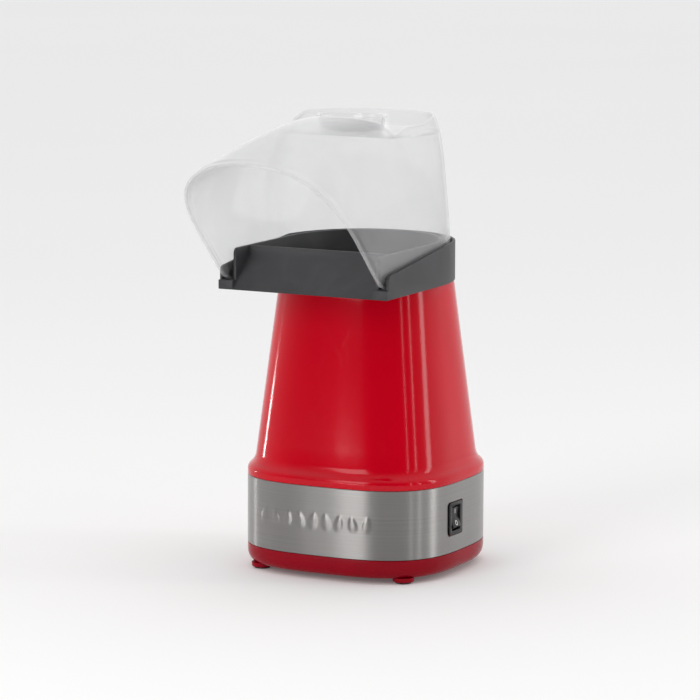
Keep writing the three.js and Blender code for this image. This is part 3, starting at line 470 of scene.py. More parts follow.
def cast_of(node: str, name: str) -> bpy.types.Object:
    """A new object with a cleaned copy of a node's solid, ready for finer work.

    Args:
        node: The frame's node.
        name: The new object's name.

    Returns:
        The new object, linked to the scene.
    """
    data = bpy.data.objects[node].data.copy()
    data.name = name
    clean(data, 2e-6, 0.6)
    data.materials.clear()
    return linked(name, data)


# ---- Shader sums --------------------------------------------------------------------------

Term = Union["Value", float, int, Sequence[float]]


class Value:
    """A node's output that can be used in sums."""

    def __init__(self, graph: "Graph", socket: bpy.types.NodeSocket) -> None:
        """Wraps a socket of a graph."""
        self.graph = graph
        self.socket = socket

    def _join(self, operation: str, first: Term, second: Term) -> "Value":
        """Adds the node that works out first operation second."""
        graph = self.graph
        if self.socket.type == "RGBA":
            settings = {"data_type": "RGBA", "blend_type": operation}
            inputs = {0: 1.0, 6: graph.colour(first), 7: graph.colour(second)}
            return graph.node("ShaderNodeMix", settings, inputs, 2)
        if self.socket.type == "VECTOR":
            inputs = {0: graph.vector(first), 1: graph.vector(second)}
            return graph.node("ShaderNodeVectorMath", {"operation": operation}, inputs)
        return graph.node("ShaderNodeMath", {"operation": operation}, {0: first, 1: second})

    def __add__(self, other: Term) -> "Value":
        """self + other."""
        return self._join("ADD", self, other)

    def __radd__(self, other: Term) -> "Value":
        """other + self."""
        return self._join("ADD", other, self)

    def __sub__(self, other: Term) -> "Value":
        """self - other."""
        return self._join("SUBTRACT", self, other)

    def __rsub__(self, other: Term) -> "Value":
        """other - self."""
        return self._join("SUBTRACT", other, self)

    def __mul__(self, other: Term) -> "Value":
        """self * other."""
        return self._join("MULTIPLY", self, other)

    def __rmul__(self, other: Term) -> "Value":
        """other * self."""
        return self._join("MULTIPLY", other, self)

    def between(self, start: float, end: float, low: float = 0, high: float = 1) -> "Value":
        """A smooth step from low at start to high at end."""
        settings = {"interpolation_type": "SMOOTHSTEP"}
        inputs = {0: self, 1: start, 2: end, 3: low, 4: high}
        return self.graph.node("ShaderNodeMapRange", settings, inputs)


class Graph:
    """A tree of shader nodes."""

    def __init__(self, owner: Union[bpy.types.Material, bpy.types.World]) -> None:
        """Empties the owner's tree."""
        owner.use_nodes = True
        self.tree = owner.node_tree
        self.tree.nodes.clear()

    def node(
        self,
        kind: str,
        settings: Optional[dict] = None,
        inputs: Optional[dict] = None,
        output: Union[int, str] = 0,
    ) -> Value:
        """Adds a node.

        Args:
            kind: The node's type.
            settings: Its settings, set first.
            inputs: Values or links, by socket name or number.
            output: The output that is returned.

        Returns:
            The wrapped output.
        """
        made = self.tree.nodes.new(kind)
        for key, value in (settings or {}).items():
            setattr(made, key, value)
        for key, value in (inputs or {}).items():
            if isinstance(value, Value):
                self.tree.links.new(value.socket, made.inputs[key])
            else:
                made.inputs[key].default_value = value
        return Value(self, made.outputs[output])

    def colour(self, term: Term) -> Term:
        """A term as a colour socket takes it."""
        if isinstance(term, Value):
            return term
        return (term, term, term, 1) if isinstance(term, (int, float)) else (*term[:3], 1)

    def vector(self, term: Term) -> Term:
        """A term as a vector socket takes it."""
        return (term, term, term) if isinstance(term, (int, float)) else term

    def mix(self, first: Term, second: Term, factor: Term) -> Value:
        """Blends two colours by a factor."""
        inputs = {0: factor, 6: self.colour(first), 7: self.colour(second)}
        return self.node("ShaderNodeMix", {"data_type": "RGBA"}, inputs, 2)

    def place(self) -> Value:
        """The place on the piece, in metres."""
        return self.node("ShaderNodeTexCoord", output="Object")

    def noise(self, stretch: Sequence[float], detail: float = 2, warp: float = 0) -> Value:
        """Noise with its own frequency along each axis, per metre."""
        inputs = {"Vector": self.place() * tuple(stretch), "Scale": 1.0, "Detail": detail}
        inputs["Distortion"] = warp
        return self.node("ShaderNodeTexNoise", {"noise_dimensions": "3D"}, inputs)

    def bump(self, height: Value, depth: float) -> Value:
        """A bump of that depth in millimetres."""
        inputs = {"Strength": 1.0, "Distance": depth * MM, "Height": height}
        return self.node("ShaderNodeBump", {}, inputs)

    def surface(self, **inputs: Term) -> Value:
        """A Principled shader; an underscore in a name stands for a space."""
        named = {key.replace("_", " "): value for key, value in inputs.items()}
        if not isinstance(named.get("Base Color"), Value):
            named["Base Color"] = self.colour(named["Base Color"])
        return self.node("ShaderNodeBsdfPrincipled", {}, named)

    def finish(self, shader: Value, kind: str = "ShaderNodeOutputMaterial") -> None:
        """Links the shader to an output of that kind."""
        made = self.tree.nodes.new(kind)
        self.tree.links.new(shader.socket, made.inputs["Surface"])


# ---- Finishes -----------------------------------------------------------------------------


class Finish(ABC):
    """A finish that can make its material."""

    @abstractmethod
    def shade(self, graph: Graph) -> Value:
        """Adds the finish's nodes and returns its shader."""

    def make(self, name: str) -> bpy.types.Material:
        """Makes the material of that name."""
        material = bpy.data.materials.new(name)
        graph = Graph(material)
        graph.finish(self.shade(graph))
        return material


@dataclass(frozen=True)
class GlossPlastic(Finish):
    """High-gloss moulded plastic with a faint flow and a few handling marks.

    Attributes:
        colour: Base colour.
        deep: The colour where the moulding is a little darker.
        roughness: Roughness of clean plastic.
        gloss: Strength of the mirrored light.
        ripple: Depth of the faint surface ripple, in millimetres.
    """

    colour: Colour
    deep: Colour
    roughness: float = 0.14
    gloss: float = 0.26
    ripple: float = 0.012

    def shade(self, graph: Graph) -> Value:
        """Adds the finish's nodes and returns its shader."""
        flow = graph.noise((9, 9, 4), 3, 0.6)
        marks = graph.noise((70, 70, 26), 5, 1.2).between(0.56, 0.78)
        specks = graph.noise((950, 950, 950), 1).between(0.7, 0.78)
        return graph.surface(
            Base_Color=graph.mix(self.deep, self.colour, flow.between(0.3, 0.62)),
            Roughness=marks * 0.05 + specks * 0.06 + self.roughness,
            Normal=graph.bump(graph.noise((210, 210, 210), 2), self.ripple),
            Specular_IOR_Level=self.gloss,
        )


@dataclass(frozen=True)
class BrushedSteel(Finish):
    """Stainless sheet brushed round the tower.

    Attributes:
        colour: Base colour.
        roughness: Mean roughness.
    """

    colour: Colour
    roughness: float = 0.36

    def shade(self, graph: Graph) -> Value:
        """Adds the finish's nodes and returns its shader."""
        fine = graph.noise((9, 9, 5200), 2)
        broad = graph.noise((3, 3, 1300), 2)
        stain = graph.noise((30, 30, 14), 4, 0.8).between(0.45, 0.75)
        streak = fine * 0.6 + broad * 0.4
        dark = tuple(channel * 0.86 for channel in self.colour)
        return graph.surface(
            Base_Color=graph.mix(dark, self.colour, streak.between(0.3, 0.7)),
            Metallic=1.0,
            Roughness=streak * 0.08 + stain * 0.03 + (self.roughness - 0.06),
            Anisotropic=0.9,
            Anisotropic_Rotation=0.25,
            Normal=graph.bump(streak, 0.004),
        )


@dataclass(frozen=True)
class GrainedPlastic(Finish):
    """Satin plastic from a spark-eroded mould.

    Attributes:
        colour: Base colour.
        worn: Colour where handling has rubbed it.
        roughness: Mean roughness.
        grain: Grains per metre.
        depth: Depth of the grain, in millimetres.
        gloss: Strength of the mirrored light.
    """

    colour: Colour
    worn: Colour
    roughness: float = 0.46
    grain: float = 2400
    depth: float = 0.012
    gloss: float = 0.32

    def shade(self, graph: Graph) -> Value:
        """Adds the finish's nodes and returns its shader."""
        inputs = {"Vector": graph.place(), "Scale": self.grain, "Smoothness": 0.6}
        cells = graph.node("ShaderNodeTexVoronoi", {"feature": "SMOOTH_F1"}, inputs)
        cloud = graph.noise((28, 28, 28), 4, 0.5)
        return graph.surface(
            Base_Color=graph.mix(self.colour, self.worn, cloud.between(0.42, 0.72)),
            Roughness=cloud * 0.12 + cells * 0.1 + (self.roughness - 0.1),
            Normal=graph.bump(cells, self.depth),
            Specular_IOR_Level=self.gloss,
        )


@dataclass(frozen=True)
class ClearPlastic(Finish):
    """Clear moulded sheet that shows what is behind it under a faint veil.

    Attributes:
        tint: Colour of what the sheet reflects and scatters.
        veil: Share that it scatters, seen square on.
        mirror: Share of the light it turns back that is mirrored.
        roughness: Roughness of its gloss.
    """

    tint: Colour
    veil: float
    mirror: float = 0.22
    roughness: float = 0.035

    def shade(self, graph: Graph) -> Value:
        """Adds the finish's nodes and returns its shader."""
        haze = graph.noise((16, 16, 11), 4, 0.9)
        facing = graph.node("ShaderNodeLayerWeight", {}, {"Blend": 0.5}, "Facing")
        square = facing * facing
        edge = square * square * 0.95
        veil = haze.between(0.3, 0.75, self.veil * 0.85, self.veil * 1.15)
        sheet = graph.surface(
            Base_Color=self.tint,
            Metallic=self.mirror,
            Roughness=haze * 0.05 + self.roughness,
            Normal=graph.bump(graph.noise((24, 24, 24), 1), 0.03),
        )
        clear = graph.node("ShaderNodeBsdfTransparent", {}, {"Color": (1, 1, 1, 1)})
        inputs = {0: edge + veil - edge * veil, 1: clear, 2: sheet}
        return graph.node("ShaderNodeMixShader", {}, inputs)


@dataclass(frozen=True)
class Metal(Finish):
    """Drawn, plated, wound or cast metal.

    Attributes:
        colour: Base colour.
        dull: Colour of its tarnish.
        stretch: Frequency of its marks along each axis, per metre.
        roughness: Mean roughness.
        depth: Depth of the marks, in millimetres.
    """

    colour: Colour
    dull: Colour
    stretch: Point = (60, 60, 900)
    roughness: float = 0.34
    depth: float = 0.02

    def shade(self, graph: Graph) -> Value:
        """Adds the finish's nodes and returns its shader."""
        marks = graph.noise(self.stretch, 3)
        cloud = graph.noise((45, 45, 45), 4, 0.7)
        return graph.surface(
            Base_Color=graph.mix(self.colour, self.dull, cloud.between(0.44, 0.76)),
            Metallic=1.0,
            Roughness=marks * 0.14 + cloud * 0.1 + (self.roughness - 0.12),
            Normal=graph.bump(marks, self.depth),
        )


@dataclass(frozen=True)
class Sheet(Finish):
    """Pressed board, laminate, rubber, ceramic or nylon: dull, with its own grain.

    Attributes:
        colour: Base colour.
        fleck: Colour of its flecks.
        roughness: Mean roughness.
        grain: Frequency of the flecks along each axis, per metre.
        depth: Depth of the grain, in millimetres.
    """

    colour: Colour
    fleck: Colour
    roughness: float = 0.6
    grain: Point = (500, 500, 500)
    depth: float = 0.03

    def shade(self, graph: Graph) -> Value:
        """Adds the finish's nodes and returns its shader."""
        flecks = graph.noise(self.grain, 4, 0.4)
        cloud = graph.noise((40, 40, 40), 3)
        return graph.surface(
            Base_Color=graph.mix(self.colour, self.fleck, flecks.between(0.46, 0.7)),
            Roughness=cloud * 0.16 + (self.roughness - 0.08),
            Normal=graph.bump(flecks, self.depth),
        )


@dataclass(frozen=True)
class Backdrop(Finish):
    """The pale studio floor, which glows a little by itself."""

    dark: float = 0.84
    light: float = 0.87
    glow: float = 0.08

    def shade(self, graph: Graph) -> Value:
        """Adds the finish's nodes and returns its shader."""
        return graph.surface(
            Base_Color=graph.mix(self.dark, self.light, graph.noise((0.8, 0.8, 0.8), 2)),
            Roughness=0.9,
            Specular_IOR_Level=0.1,
            Emission_Color=(1, 1, 1, 1),
            Emission_Strength=self.glow,
        )


GREY_BLACK = (0.012, 0.012, 0.012)
CLEAR_TINT = (0.72, 0.72, 0.73)
FINISHES: dict[Slot, Finish] = {
    Slot.RED_SHELL: GlossPlastic((0.58, 0.0004, 0.012), (0.52, 0.0004, 0.01), 0.12, 0.22),
    Slot.RED_BASE: GlossPlastic((0.29, 0.0004, 0.01), (0.25, 0.0004, 0.008), 0.2, 0.12),
    Slot.STEEL_BAND: BrushedSteel((0.3, 0.292, 0.285)),
    Slot.COLLAR: GrainedPlastic((0.036, 0.036, 0.039), (0.046, 0.046, 0.049)),
    Slot.CLEAR_HOOD: ClearPlastic(CLEAR_TINT, 0.105),
    Slot.CLEAR_CUP: ClearPlastic(CLEAR_TINT, 0.08),
    Slot.BLACK: GrainedPlastic(GREY_BLACK, (0.018, 0.018, 0.018), 0.3, 1900, 0.012, 0.25),
    Slot.RUBBER: Sheet((0.022, 0.022, 0.022), (0.04, 0.04, 0.039), 0.85),
    Slot.CHAMBER: Metal((0.78, 0.79, 0.8), (0.6, 0.6, 0.6), (40, 40, 1500), 0.3),
    Slot.PLATED: Metal((0.62, 0.63, 0.65), (0.48, 0.5, 0.5), (400, 400, 400), 0.36),
    Slot.MICA: Sheet((0.5, 0.41, 0.28), (0.62, 0.55, 0.42), 0.5, (260, 260, 260)),
    Slot.HEATING: Metal((0.3, 0.27, 0.25), (0.2, 0.14, 0.11), (900, 900, 900), 0.5),
    Slot.WHITE: Sheet((0.74, 0.72, 0.66), (0.8, 0.79, 0.74), 0.5, (300, 300, 300), 0.015),
    Slot.BOARD: Sheet((0.03, 0.15, 0.065), (0.05, 0.21, 0.095), 0.45, (1400, 160, 160)),
    Slot.BRASS: Metal((0.76, 0.58, 0.26), (0.5, 0.36, 0.16), (500, 500, 500), 0.32),
    Slot.COPPER: Metal((0.62, 0.27, 0.12), (0.42, 0.17, 0.07), (60, 60, 2400), 0.36, 0.06),
    Slot.FERRITE: Sheet((0.03, 0.03, 0.031), (0.05, 0.05, 0.052), 0.6, (900, 900, 900)),
}


class Palette:
    """Makes each slot's material once."""

    def __init__(self) -> None:
        """Starts with no material made."""
        self.made: dict[Slot, bpy.types.Material] = {}

    def of(self, slot: Slot) -> bpy.types.Material:
        """The material of a slot."""
        if slot not in self.made:
            self.made[slot] = FINISHES[slot].make(slot.value)
        return self.made[slot]


# ---- Sub-assemblies -----------------------------------------------------------------------


class SubAssembly(ABC):
    """A group of pieces that is built and dressed together."""

    def __init__(self, bench: Bench, palette: Palette) -> None:
        """Keeps the bench and the palette."""
        self.bench = bench
        self.palette = palette

    @abstractmethod
    def build(self) -> list[bpy.types.Object]:
        """Builds and dresses the pieces."""

    def dress(
        self, piece: bpy.types.Object, slot: Slot, body: Body, *nodes: str
    ) -> bpy.types.Object:
        """Gives a piece its finish, its body and the nodes that it stands for.

        Args:
            piece: The piece.
            slot: Its material slot.
            body: The body that it rides on.
            nodes: Nodes that it replaces.

        Returns:
            The piece.
        """
        piece.data.materials.clear()
        piece.data.materials.append(self.palette.of(slot))
        piece.data.shade_smooth()
        piece.data.set_sharp_from_angle(angle=SHARP_ANGLE)
        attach(piece, body.value)
        if nodes:
            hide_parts(*nodes)
        return piece


@dataclass(frozen=True)
class Spot:
    """Where a round node stands, in the tower's millimetres."""

    centre: Pair
    radius: float
    low: float
    high: float


@dataclass(frozen=True)
class Plan:
    """The tower's plan: a squared oval that grows rounder towards the top.

    Attributes:
        depth_ratio: Depth over width.
        low: Bottom of the body.
        high: Top of the body.
        steps: Number of points round the plan.
        base_power: Exponent at the bottom of the body.
        top_power: Exponent at its top.
    """

    depth_ratio: float
    low: float
    high: float
    steps: int = 224
    base_power: float = 3.05
    top_power: float = 2.6

    def power(self, z: float) -> float:
        """The exponent at a height."""
        return lerp(self.base_power, self.top_power, share_of(z, self.low, self.high))

    def point(self, angle: float, half: float, z: float) -> Pair:
        """The plan's point in a direction, at a height."""
        return oval_point(angle, half, half * self.depth_ratio, self.power(z))

    def rings(self, profile: Sequence[Pair]) -> list[list[Point]]:
        """Rings of the plan along a profile of (half-width, z)."""
        turns = all_round(self.steps)
        return [[(*self.point(turn, half, z), z) for turn in turns] for half, z in profile]


class Tower(SubAssembly):
    """The base, the steel band and the body, with the feet and their screws."""

    @dataclass(frozen=True)
    class Size:
        """Sizes in millimetres that the frame's boxes don't give."""

        wall: float = 3
        seam: float = 0.3
        through: float = 2
        base_low: float = 4.6
        base_middle: float = 40
        edge_inset: float = 10
        edge_rise: float = 12.4
        edge_pull: float = 0.35
        edge_margin: float = 2
        edge_steps: int = 14
        liner_inset: float = 1.6
        rim_height: float = 4.3
        shoulder_inset: float = 7
        shoulder_rise: float = 15
        shoulder_swell: float = 1.4
        shoulder_pull: Pair = (0.47, 0.3)
        shoulder_steps: int = 18
        collar_margin: float = 8.4
        taper_steps: int = 12
        top_hole: float = 65.68
        sheet: float = 1.2
        hem: float = 0.35
        band_steps: int = 150
        band_levels: int = 62
        boss_middle: float = 4
        boss_radius: float = 10
        boss_low: float = 1.6
        boss_root: float = 1
        pad_dimple: Pair = (1.5, 0.5)
        pad_groove: tuple[float, ...] = (0.56, 0.62, 0.7, 0.76)
        pad_groove_depth: float = 0.6
        screw_hole: float = 1.85
        screw_head: float = 2.2
        screw_shank: float = 1.5
        cross_arm: float = 0.58
        cross_half: float = 0.42
        cross_depth: float = 1.3
        slot_pitch: float = 10
        slot_width: float = 5
        slot_corner: float = 2.4
        slot_margin: float = 13.7
        window_lap: float = -3
        window_gap: float = 1.4
        window_corner: float = 3
        window_depth: Pair = (14, 6)
        window_reach: float = 8
        cord_hole: float = 5.7
        cord_hole_start: float = 16
        cord_hole_end: float = 120
        gland_bore: float = 3.6
        gland_barrel: float = 5.4
        gland_flange: float = 1.4
        motif_count: int = 9
        motif_pitch: float = 13.4
        motif_centre: float = -6
        motif_half: Pair = (4.4, 8.2)
        motif_tilt: float = 0.16
        motif_taper: float = 0.28
        motif_slope: Pair = (0.35, 1.15)
        motif_height: float = 0.6
        motif_margin: float = 1

    def __init__(self, bench: Bench, palette: Palette) -> None:
        """Reads the tower's heights from the frame."""
        super().__init__(bench, palette)
        self.size = size = self.Size()
        self.base_low, self.base_high = bench.box("base_shell")
        self.band_low, self.band_high = bench.box("steel_band")
        self.body_low, self.body_high = bench.box("body_shell")
        self.body_bottom = self.band_high.z + size.seam
        ratio = self.body_high.y / self.body_high.x
        self.plan = Plan(ratio, self.body_bottom, self.body_high.z)
        self.top_half = bench.box("collar")[1].x - size.collar_margin

    def spot(self, node: str) -> Spot:
        """Where a round node stands."""
        low, high = self.bench.box(node)
        centre = ((low.x + high.x) / 2, (low.y + high.y) / 2)
        return Spot(centre, (high.x - low.x) / 2, low.z, high.z)

    def spots(self, kind: str) -> dict[str, Spot]:
        """Where the four nodes of a kind stand, by corner."""
        return {corner: self.spot(f"{kind}_{corner}") for corner in CORNERS}

    def laid_back(self) -> Matrix:
        """Lays an upright solid down at the cord hole, so that it points backwards."""
        spot = self.spot("cord_gland")
        lift = Matrix.Translation((0, 0, (spot.low + spot.high) / 2))
        return lift @ Matrix.Rotation(-math.pi / 2, 4, "X")

    def body(self) -> bpy.types.Object:
        """The glossy tapered body, open at the bottom, with a flange at the top."""
        size, half = self.size, self.body_high.x
        wall, top_z, top_half = size.wall, self.body_high.z, self.top_half
        liner, waist = half - size.liner_inset, half - size.shoulder_inset
        rim = self.body_bottom + size.rim_height
        waist_z = rim + size.shoulder_rise
        lower_pull, upper_pull = size.shoulder_pull
        shoulder = bezier(
            (half, rim),
            (half, rim + size.shoulder_rise * lower_pull),
            (waist + size.shoulder_swell, rim + size.shoulder_rise * upper_pull),
            (waist, waist_z),
            size.shoulder_steps,
        )
        shares = [i / size.taper_steps for i in range(1, size.taper_steps)]
        taper = [(lerp(waist, top_half, share), lerp(waist_z, top_z, share)) for share in shares]
        foot = section(
            (liner - wall, self.body_low.z, 0),
            (liner, self.body_low.z, 0.4),
            (liner, self.body_bottom, 0.3),
            (half, self.body_bottom, 0.55),
            (half, rim, 0),
        )
        top = section(
            (*taper[-1], 0),
            (top_half, top_z, 0.8),
            (size.top_hole, top_z, 0.6),
            (size.top_hole, top_z - wall, 0.6),
            (top_half - wall * 1.11, top_z - wall, 0),
        )
        inner = [(reach - wall, z) for reach, z in reversed(taper)]
        inner += [(waist - wall, waist_z), (liner - wall, rim)]
        rings = self.plan.rings(foot[:-1] + shoulder + taper[:-1] + top + inner)
        piece = Skin().ring(rings).mesh("body", self.bench)
        tool = Skin()
        hole = [(size.screw_hole, top_z - 2 * wall), (size.screw_hole, top_z + size.through)]
        for spot in self.spots("collar_screw").values():
            tool.lathe(hole, 20, spot.centre)
        carve(piece, tool, self.bench)
        return self.dress(piece, Slot.RED_SHELL, Body.TOWER, "body_shell")

    def base(self) -> bpy.types.Object:
        """The dark red base with its feet, intake slots and the liner behind the band."""
        size, half = self.size, self.base_high.x
        low, wall, pull = size.base_low, size.wall, size.edge_rise * size.edge_pull
        top, liner_top = self.band_low.z - size.seam, self.base_high.z
        rise, floor = low + size.edge_rise, low + wall
        liner = half - size.liner_inset
        inner = liner - wall
        edge = bezier(
            (half - size.edge_inset, low),
            (half - size.edge_inset * size.edge_pull, low),
            (half, low + pull),
            (half, rise),
            size.edge_steps,
        )
        upper = section(
            (half, rise, 0),
            (half, top, 0.5),
            (liner, top, 0),
            (liner, liner_top, 0.4),
            (inner, liner_top, 0.4),
            (inner, rise + wall, 3),
            (inner - size.edge_inset * 0.7, floor, 3),
            (size.base_middle, floor, 0),
        )
        lower = [(size.base_middle, low), (edge[0][0] - size.edge_margin, low)]
        rings = self.plan.rings(lower + edge + upper[1:])
        piece = Skin().solid(rings).mesh("base", self.bench)
        boss = section(
            (size.boss_middle, size.boss_low, 0),
            (size.boss_radius, size.boss_low, 1),
            (size.boss_radius, low + size.boss_root, 0),
            (size.boss_middle, low + size.boss_root, 0),
        )
        feet, tool = Skin(), Skin()
        for pad in self.spots("foot_pad").values():
            seat = pad.radius + size.seam
            feet.lathe(boss, 48, pad.centre)
            tool.lathe([(seat, -size.through), (seat, pad.high + size.seam)], 48, pad.centre)
        carve(piece, feet, self.bench, "UNION")
        screws = self.spots("base_screw")
        cut_low, cut_high = -size.through, floor + size.through
        for screw in screws.values():
            hole = [(size.screw_hole, cut_low), (size.screw_hole, cut_high)]
            tool.lathe(hole, 24, screw.centre)
        reach = abs(screws["front_left"].centre[0]) - size.slot_margin
        count = math.floor(reach / size.slot_pitch)
        for i in range(-count, count + 1):
            middle = (0, i * size.slot_pitch)
            slot = rectangle(reach * 2, size.slot_width, size.slot_corner, middle)
            tool.prism(slot, low - 2 * size.through, cut_high)
        behind, before = size.window_depth
        tool.prism(self.window(size.window_lap), half - behind, half + before, "x")
        start, end = self.base_high.y - size.cord_hole_start, size.cord_hole_end
        cord = Skin().lathe([(size.cord_hole, start), (size.cord_hole, end)], 40)
        tool.add(cord.turned(self.laid_back()))
        carve(piece, tool, self.bench)
        return self.dress(piece, Slot.RED_BASE, Body.TOWER, "base_shell")

    def window(self, grow: float) -> list[Pair]:
        """The switch's window as a (y, z) outline, larger than the bezel by grow."""
        low, high = self.bench.box("switch_bezel")
        centre = ((low.y + high.y) / 2, (low.z + high.z) / 2)
        width, height = high.y - low.y + grow, high.z - low.z + grow
        return rectangle(width, height, self.size.window_corner, centre)

    def emboss(self, x: float, z: float) -> float:
        """How far the band is pressed outwards at a place on its front: a row of kernels."""
        size = self.size
        limit = (size.motif_count - 1) // 2
        index = max(-limit, min(limit, round((x - size.motif_centre) / size.motif_pitch)))
        lean = size.motif_tilt if index % 2 else -size.motif_tilt
        across = x - size.motif_centre - index * size.motif_pitch
        along = z - (self.band_low.z + self.band_high.z) / 2
        across, along = moved([(across, along)], -lean, (0, 0))[0]
        half_x, half_z = size.motif_half
        narrow = half_x * (1 - size.motif_taper * along / half_z)
        reach = math.hypot(across / narrow, along / half_z)
        return size.motif_height * (1 - smooth(reach, *size.motif_slope))

    def band(self) -> bpy.types.Object:
        """The brushed band with a row of raised kernels on its front."""
        size, half = self.size, self.band_high.x
        low, high, hem = self.band_low.z, self.band_high.z, size.hem
        inner = half - size.sheet
        count = size.band_levels
        levels = [low + hem + (high - low - 2 * hem) * i / count for i in range(count + 1)]
        profile = [(half - hem, low)] + [(half, z) for z in levels] + [(half - hem, high)]
        rows = []
        for reach, z in profile + [(inner, high), (inner, low)]:
            row = [self.plan.point(angle, reach, z) for angle in self.band_angles()]
            if reach == half and low + size.motif_margin < z < high - size.motif_margin:
                row = [(x, y - self.emboss(x, z) if y < 0 else y) for x, y in row]
            rows.append([(x, y, z) for x, y in row])
        piece = Skin().ring(rows).mesh("band", self.bench)
        near, far = half - size.window_reach, half + size.window_reach
        carve(piece, Skin().prism(self.window(size.window_gap), near, far, "x"), self.bench)
        return self.dress(piece, Slot.STEEL_BAND, Body.TOWER, "steel_band")

    def band_angles(self) -> list[float]:
        """Directions round the band, closer together where the motif is raised."""
        count = self.size.band_steps
        spans = ((-45, 225), (225, 315))
        return [math.radians(lerp(*span, i / count)) for span in spans for i in range(count)]

    def pads(self) -> list[bpy.types.Object]:
        """The four rubber feet, each with a rounded edge and a moulded groove."""
        pieces = []
        (dimple, dimple_z), groove_z = self.size.pad_dimple, self.size.pad_groove_depth
        for corner, pad in self.spots("foot_pad").items():
            groove = [share * pad.radius for share in self.size.pad_groove]
            profile = section(
                (dimple, dimple_z, 0),
                (dimple + 1.1, 0, 0.3),
                (groove[0], 0, 0.3),
                (groove[1], groove_z, 0.2),
                (groove[2], groove_z, 0.2),
                (groove[3], 0, 0.3),
                (pad.radius, 0, 0.7),
                (pad.radius, pad.high, 0.4),
                (dimple, pad.high, 0),
            )
            piece = Skin().lathe(profile, 64, pad.centre).mesh(f"foot_{corner}", self.bench)
            pieces.append(self.dress(piece, Slot.RUBBER, Body.TOWER, f"foot_pad_{corner}"))
        return pieces

    def screws(self, kind: str) -> list[bpy.types.Object]:
        """Four pan-head screws with a cross recess, their heads at the lower end."""
        size, pieces = self.size, []
        for corner, spot in self.spots(kind).items():
            radius, low, high = spot.radius, spot.low, spot.high
            profile = section(
                (radius * 0.35, low, 0),
                (radius * 0.8, low, 0.6),
                (radius, low + 1, 0.6),
                (radius, low + size.screw_head, 0.25),
                (size.screw_shank, low + size.screw_head, 0.2),
                (size.screw_shank, high - 1.2, 0.3),
                (0.5, high, 0),
                steps=3,
            )
            name = f"{kind}_fine_{corner}"
            piece = Skin().lathe(profile, 36, spot.centre).mesh(name, self.bench)
            arm, thick = radius * size.cross_arm, size.cross_half
            quarter = [(arm, thick), (thick, thick), (thick, arm)]
            cross = [p for turn in all_round(4) for p in moved(quarter, turn, spot.centre)]
            carve(piece, Skin().prism(cross, low - 1, low + size.cross_depth), self.bench)
            pieces.append(self.dress(piece, Slot.PLATED, Body.TOWER, f"{kind}_{corner}"))
        return pieces

    def gland(self) -> bpy.types.Object:
        """The cord gland: a flanged bush with a rounded mouth."""
        low, high = self.bench.box("cord_gland")
        flange, bore, barrel = (high.x - low.x) / 2, self.size.gland_bore, self.size.gland_barrel
        shoulder = high.y - self.size.gland_flange
        profile = rounded(
            [
                (bore, low.y, 0.3),
                (barrel, low.y, 0.5),
                (barrel, shoulder, 0),
                (flange, shoulder, 0.2),
                (flange, high.y, 0.6),
                (bore + 1.4, high.y, 0.4),
                (bore, high.y - 1.3, 0.5),
            ]
        )
        gland = Skin().lathe(profile, 72, hollow=True)
        piece = gland.turned(self.laid_back()).mesh("gland", self.bench)
        return self.dress(piece, Slot.BLACK, Body.TOWER, "cord_gland")

    def build(self) -> list[bpy.types.Object]:
        """Builds and dresses the pieces."""
        pieces = [self.body(), self.base(), self.band(), self.gland()]
        pieces += self.pads() + self.screws("base_screw") + self.screws("collar_screw")
        return pieces


class Collar(SubAssembly):
    """The collar with its tub, apron and hood channel."""

    edge: float = 0.55

    def build(self) -> list[bpy.types.Object]:
        """Builds and dresses the pieces."""
        piece = cast_of("collar", "collar_moulding")
        soften(piece, self.edge, 2, 50)
        return [self.dress(piece, Slot.COLLAR, Body.TOWER, "collar")]


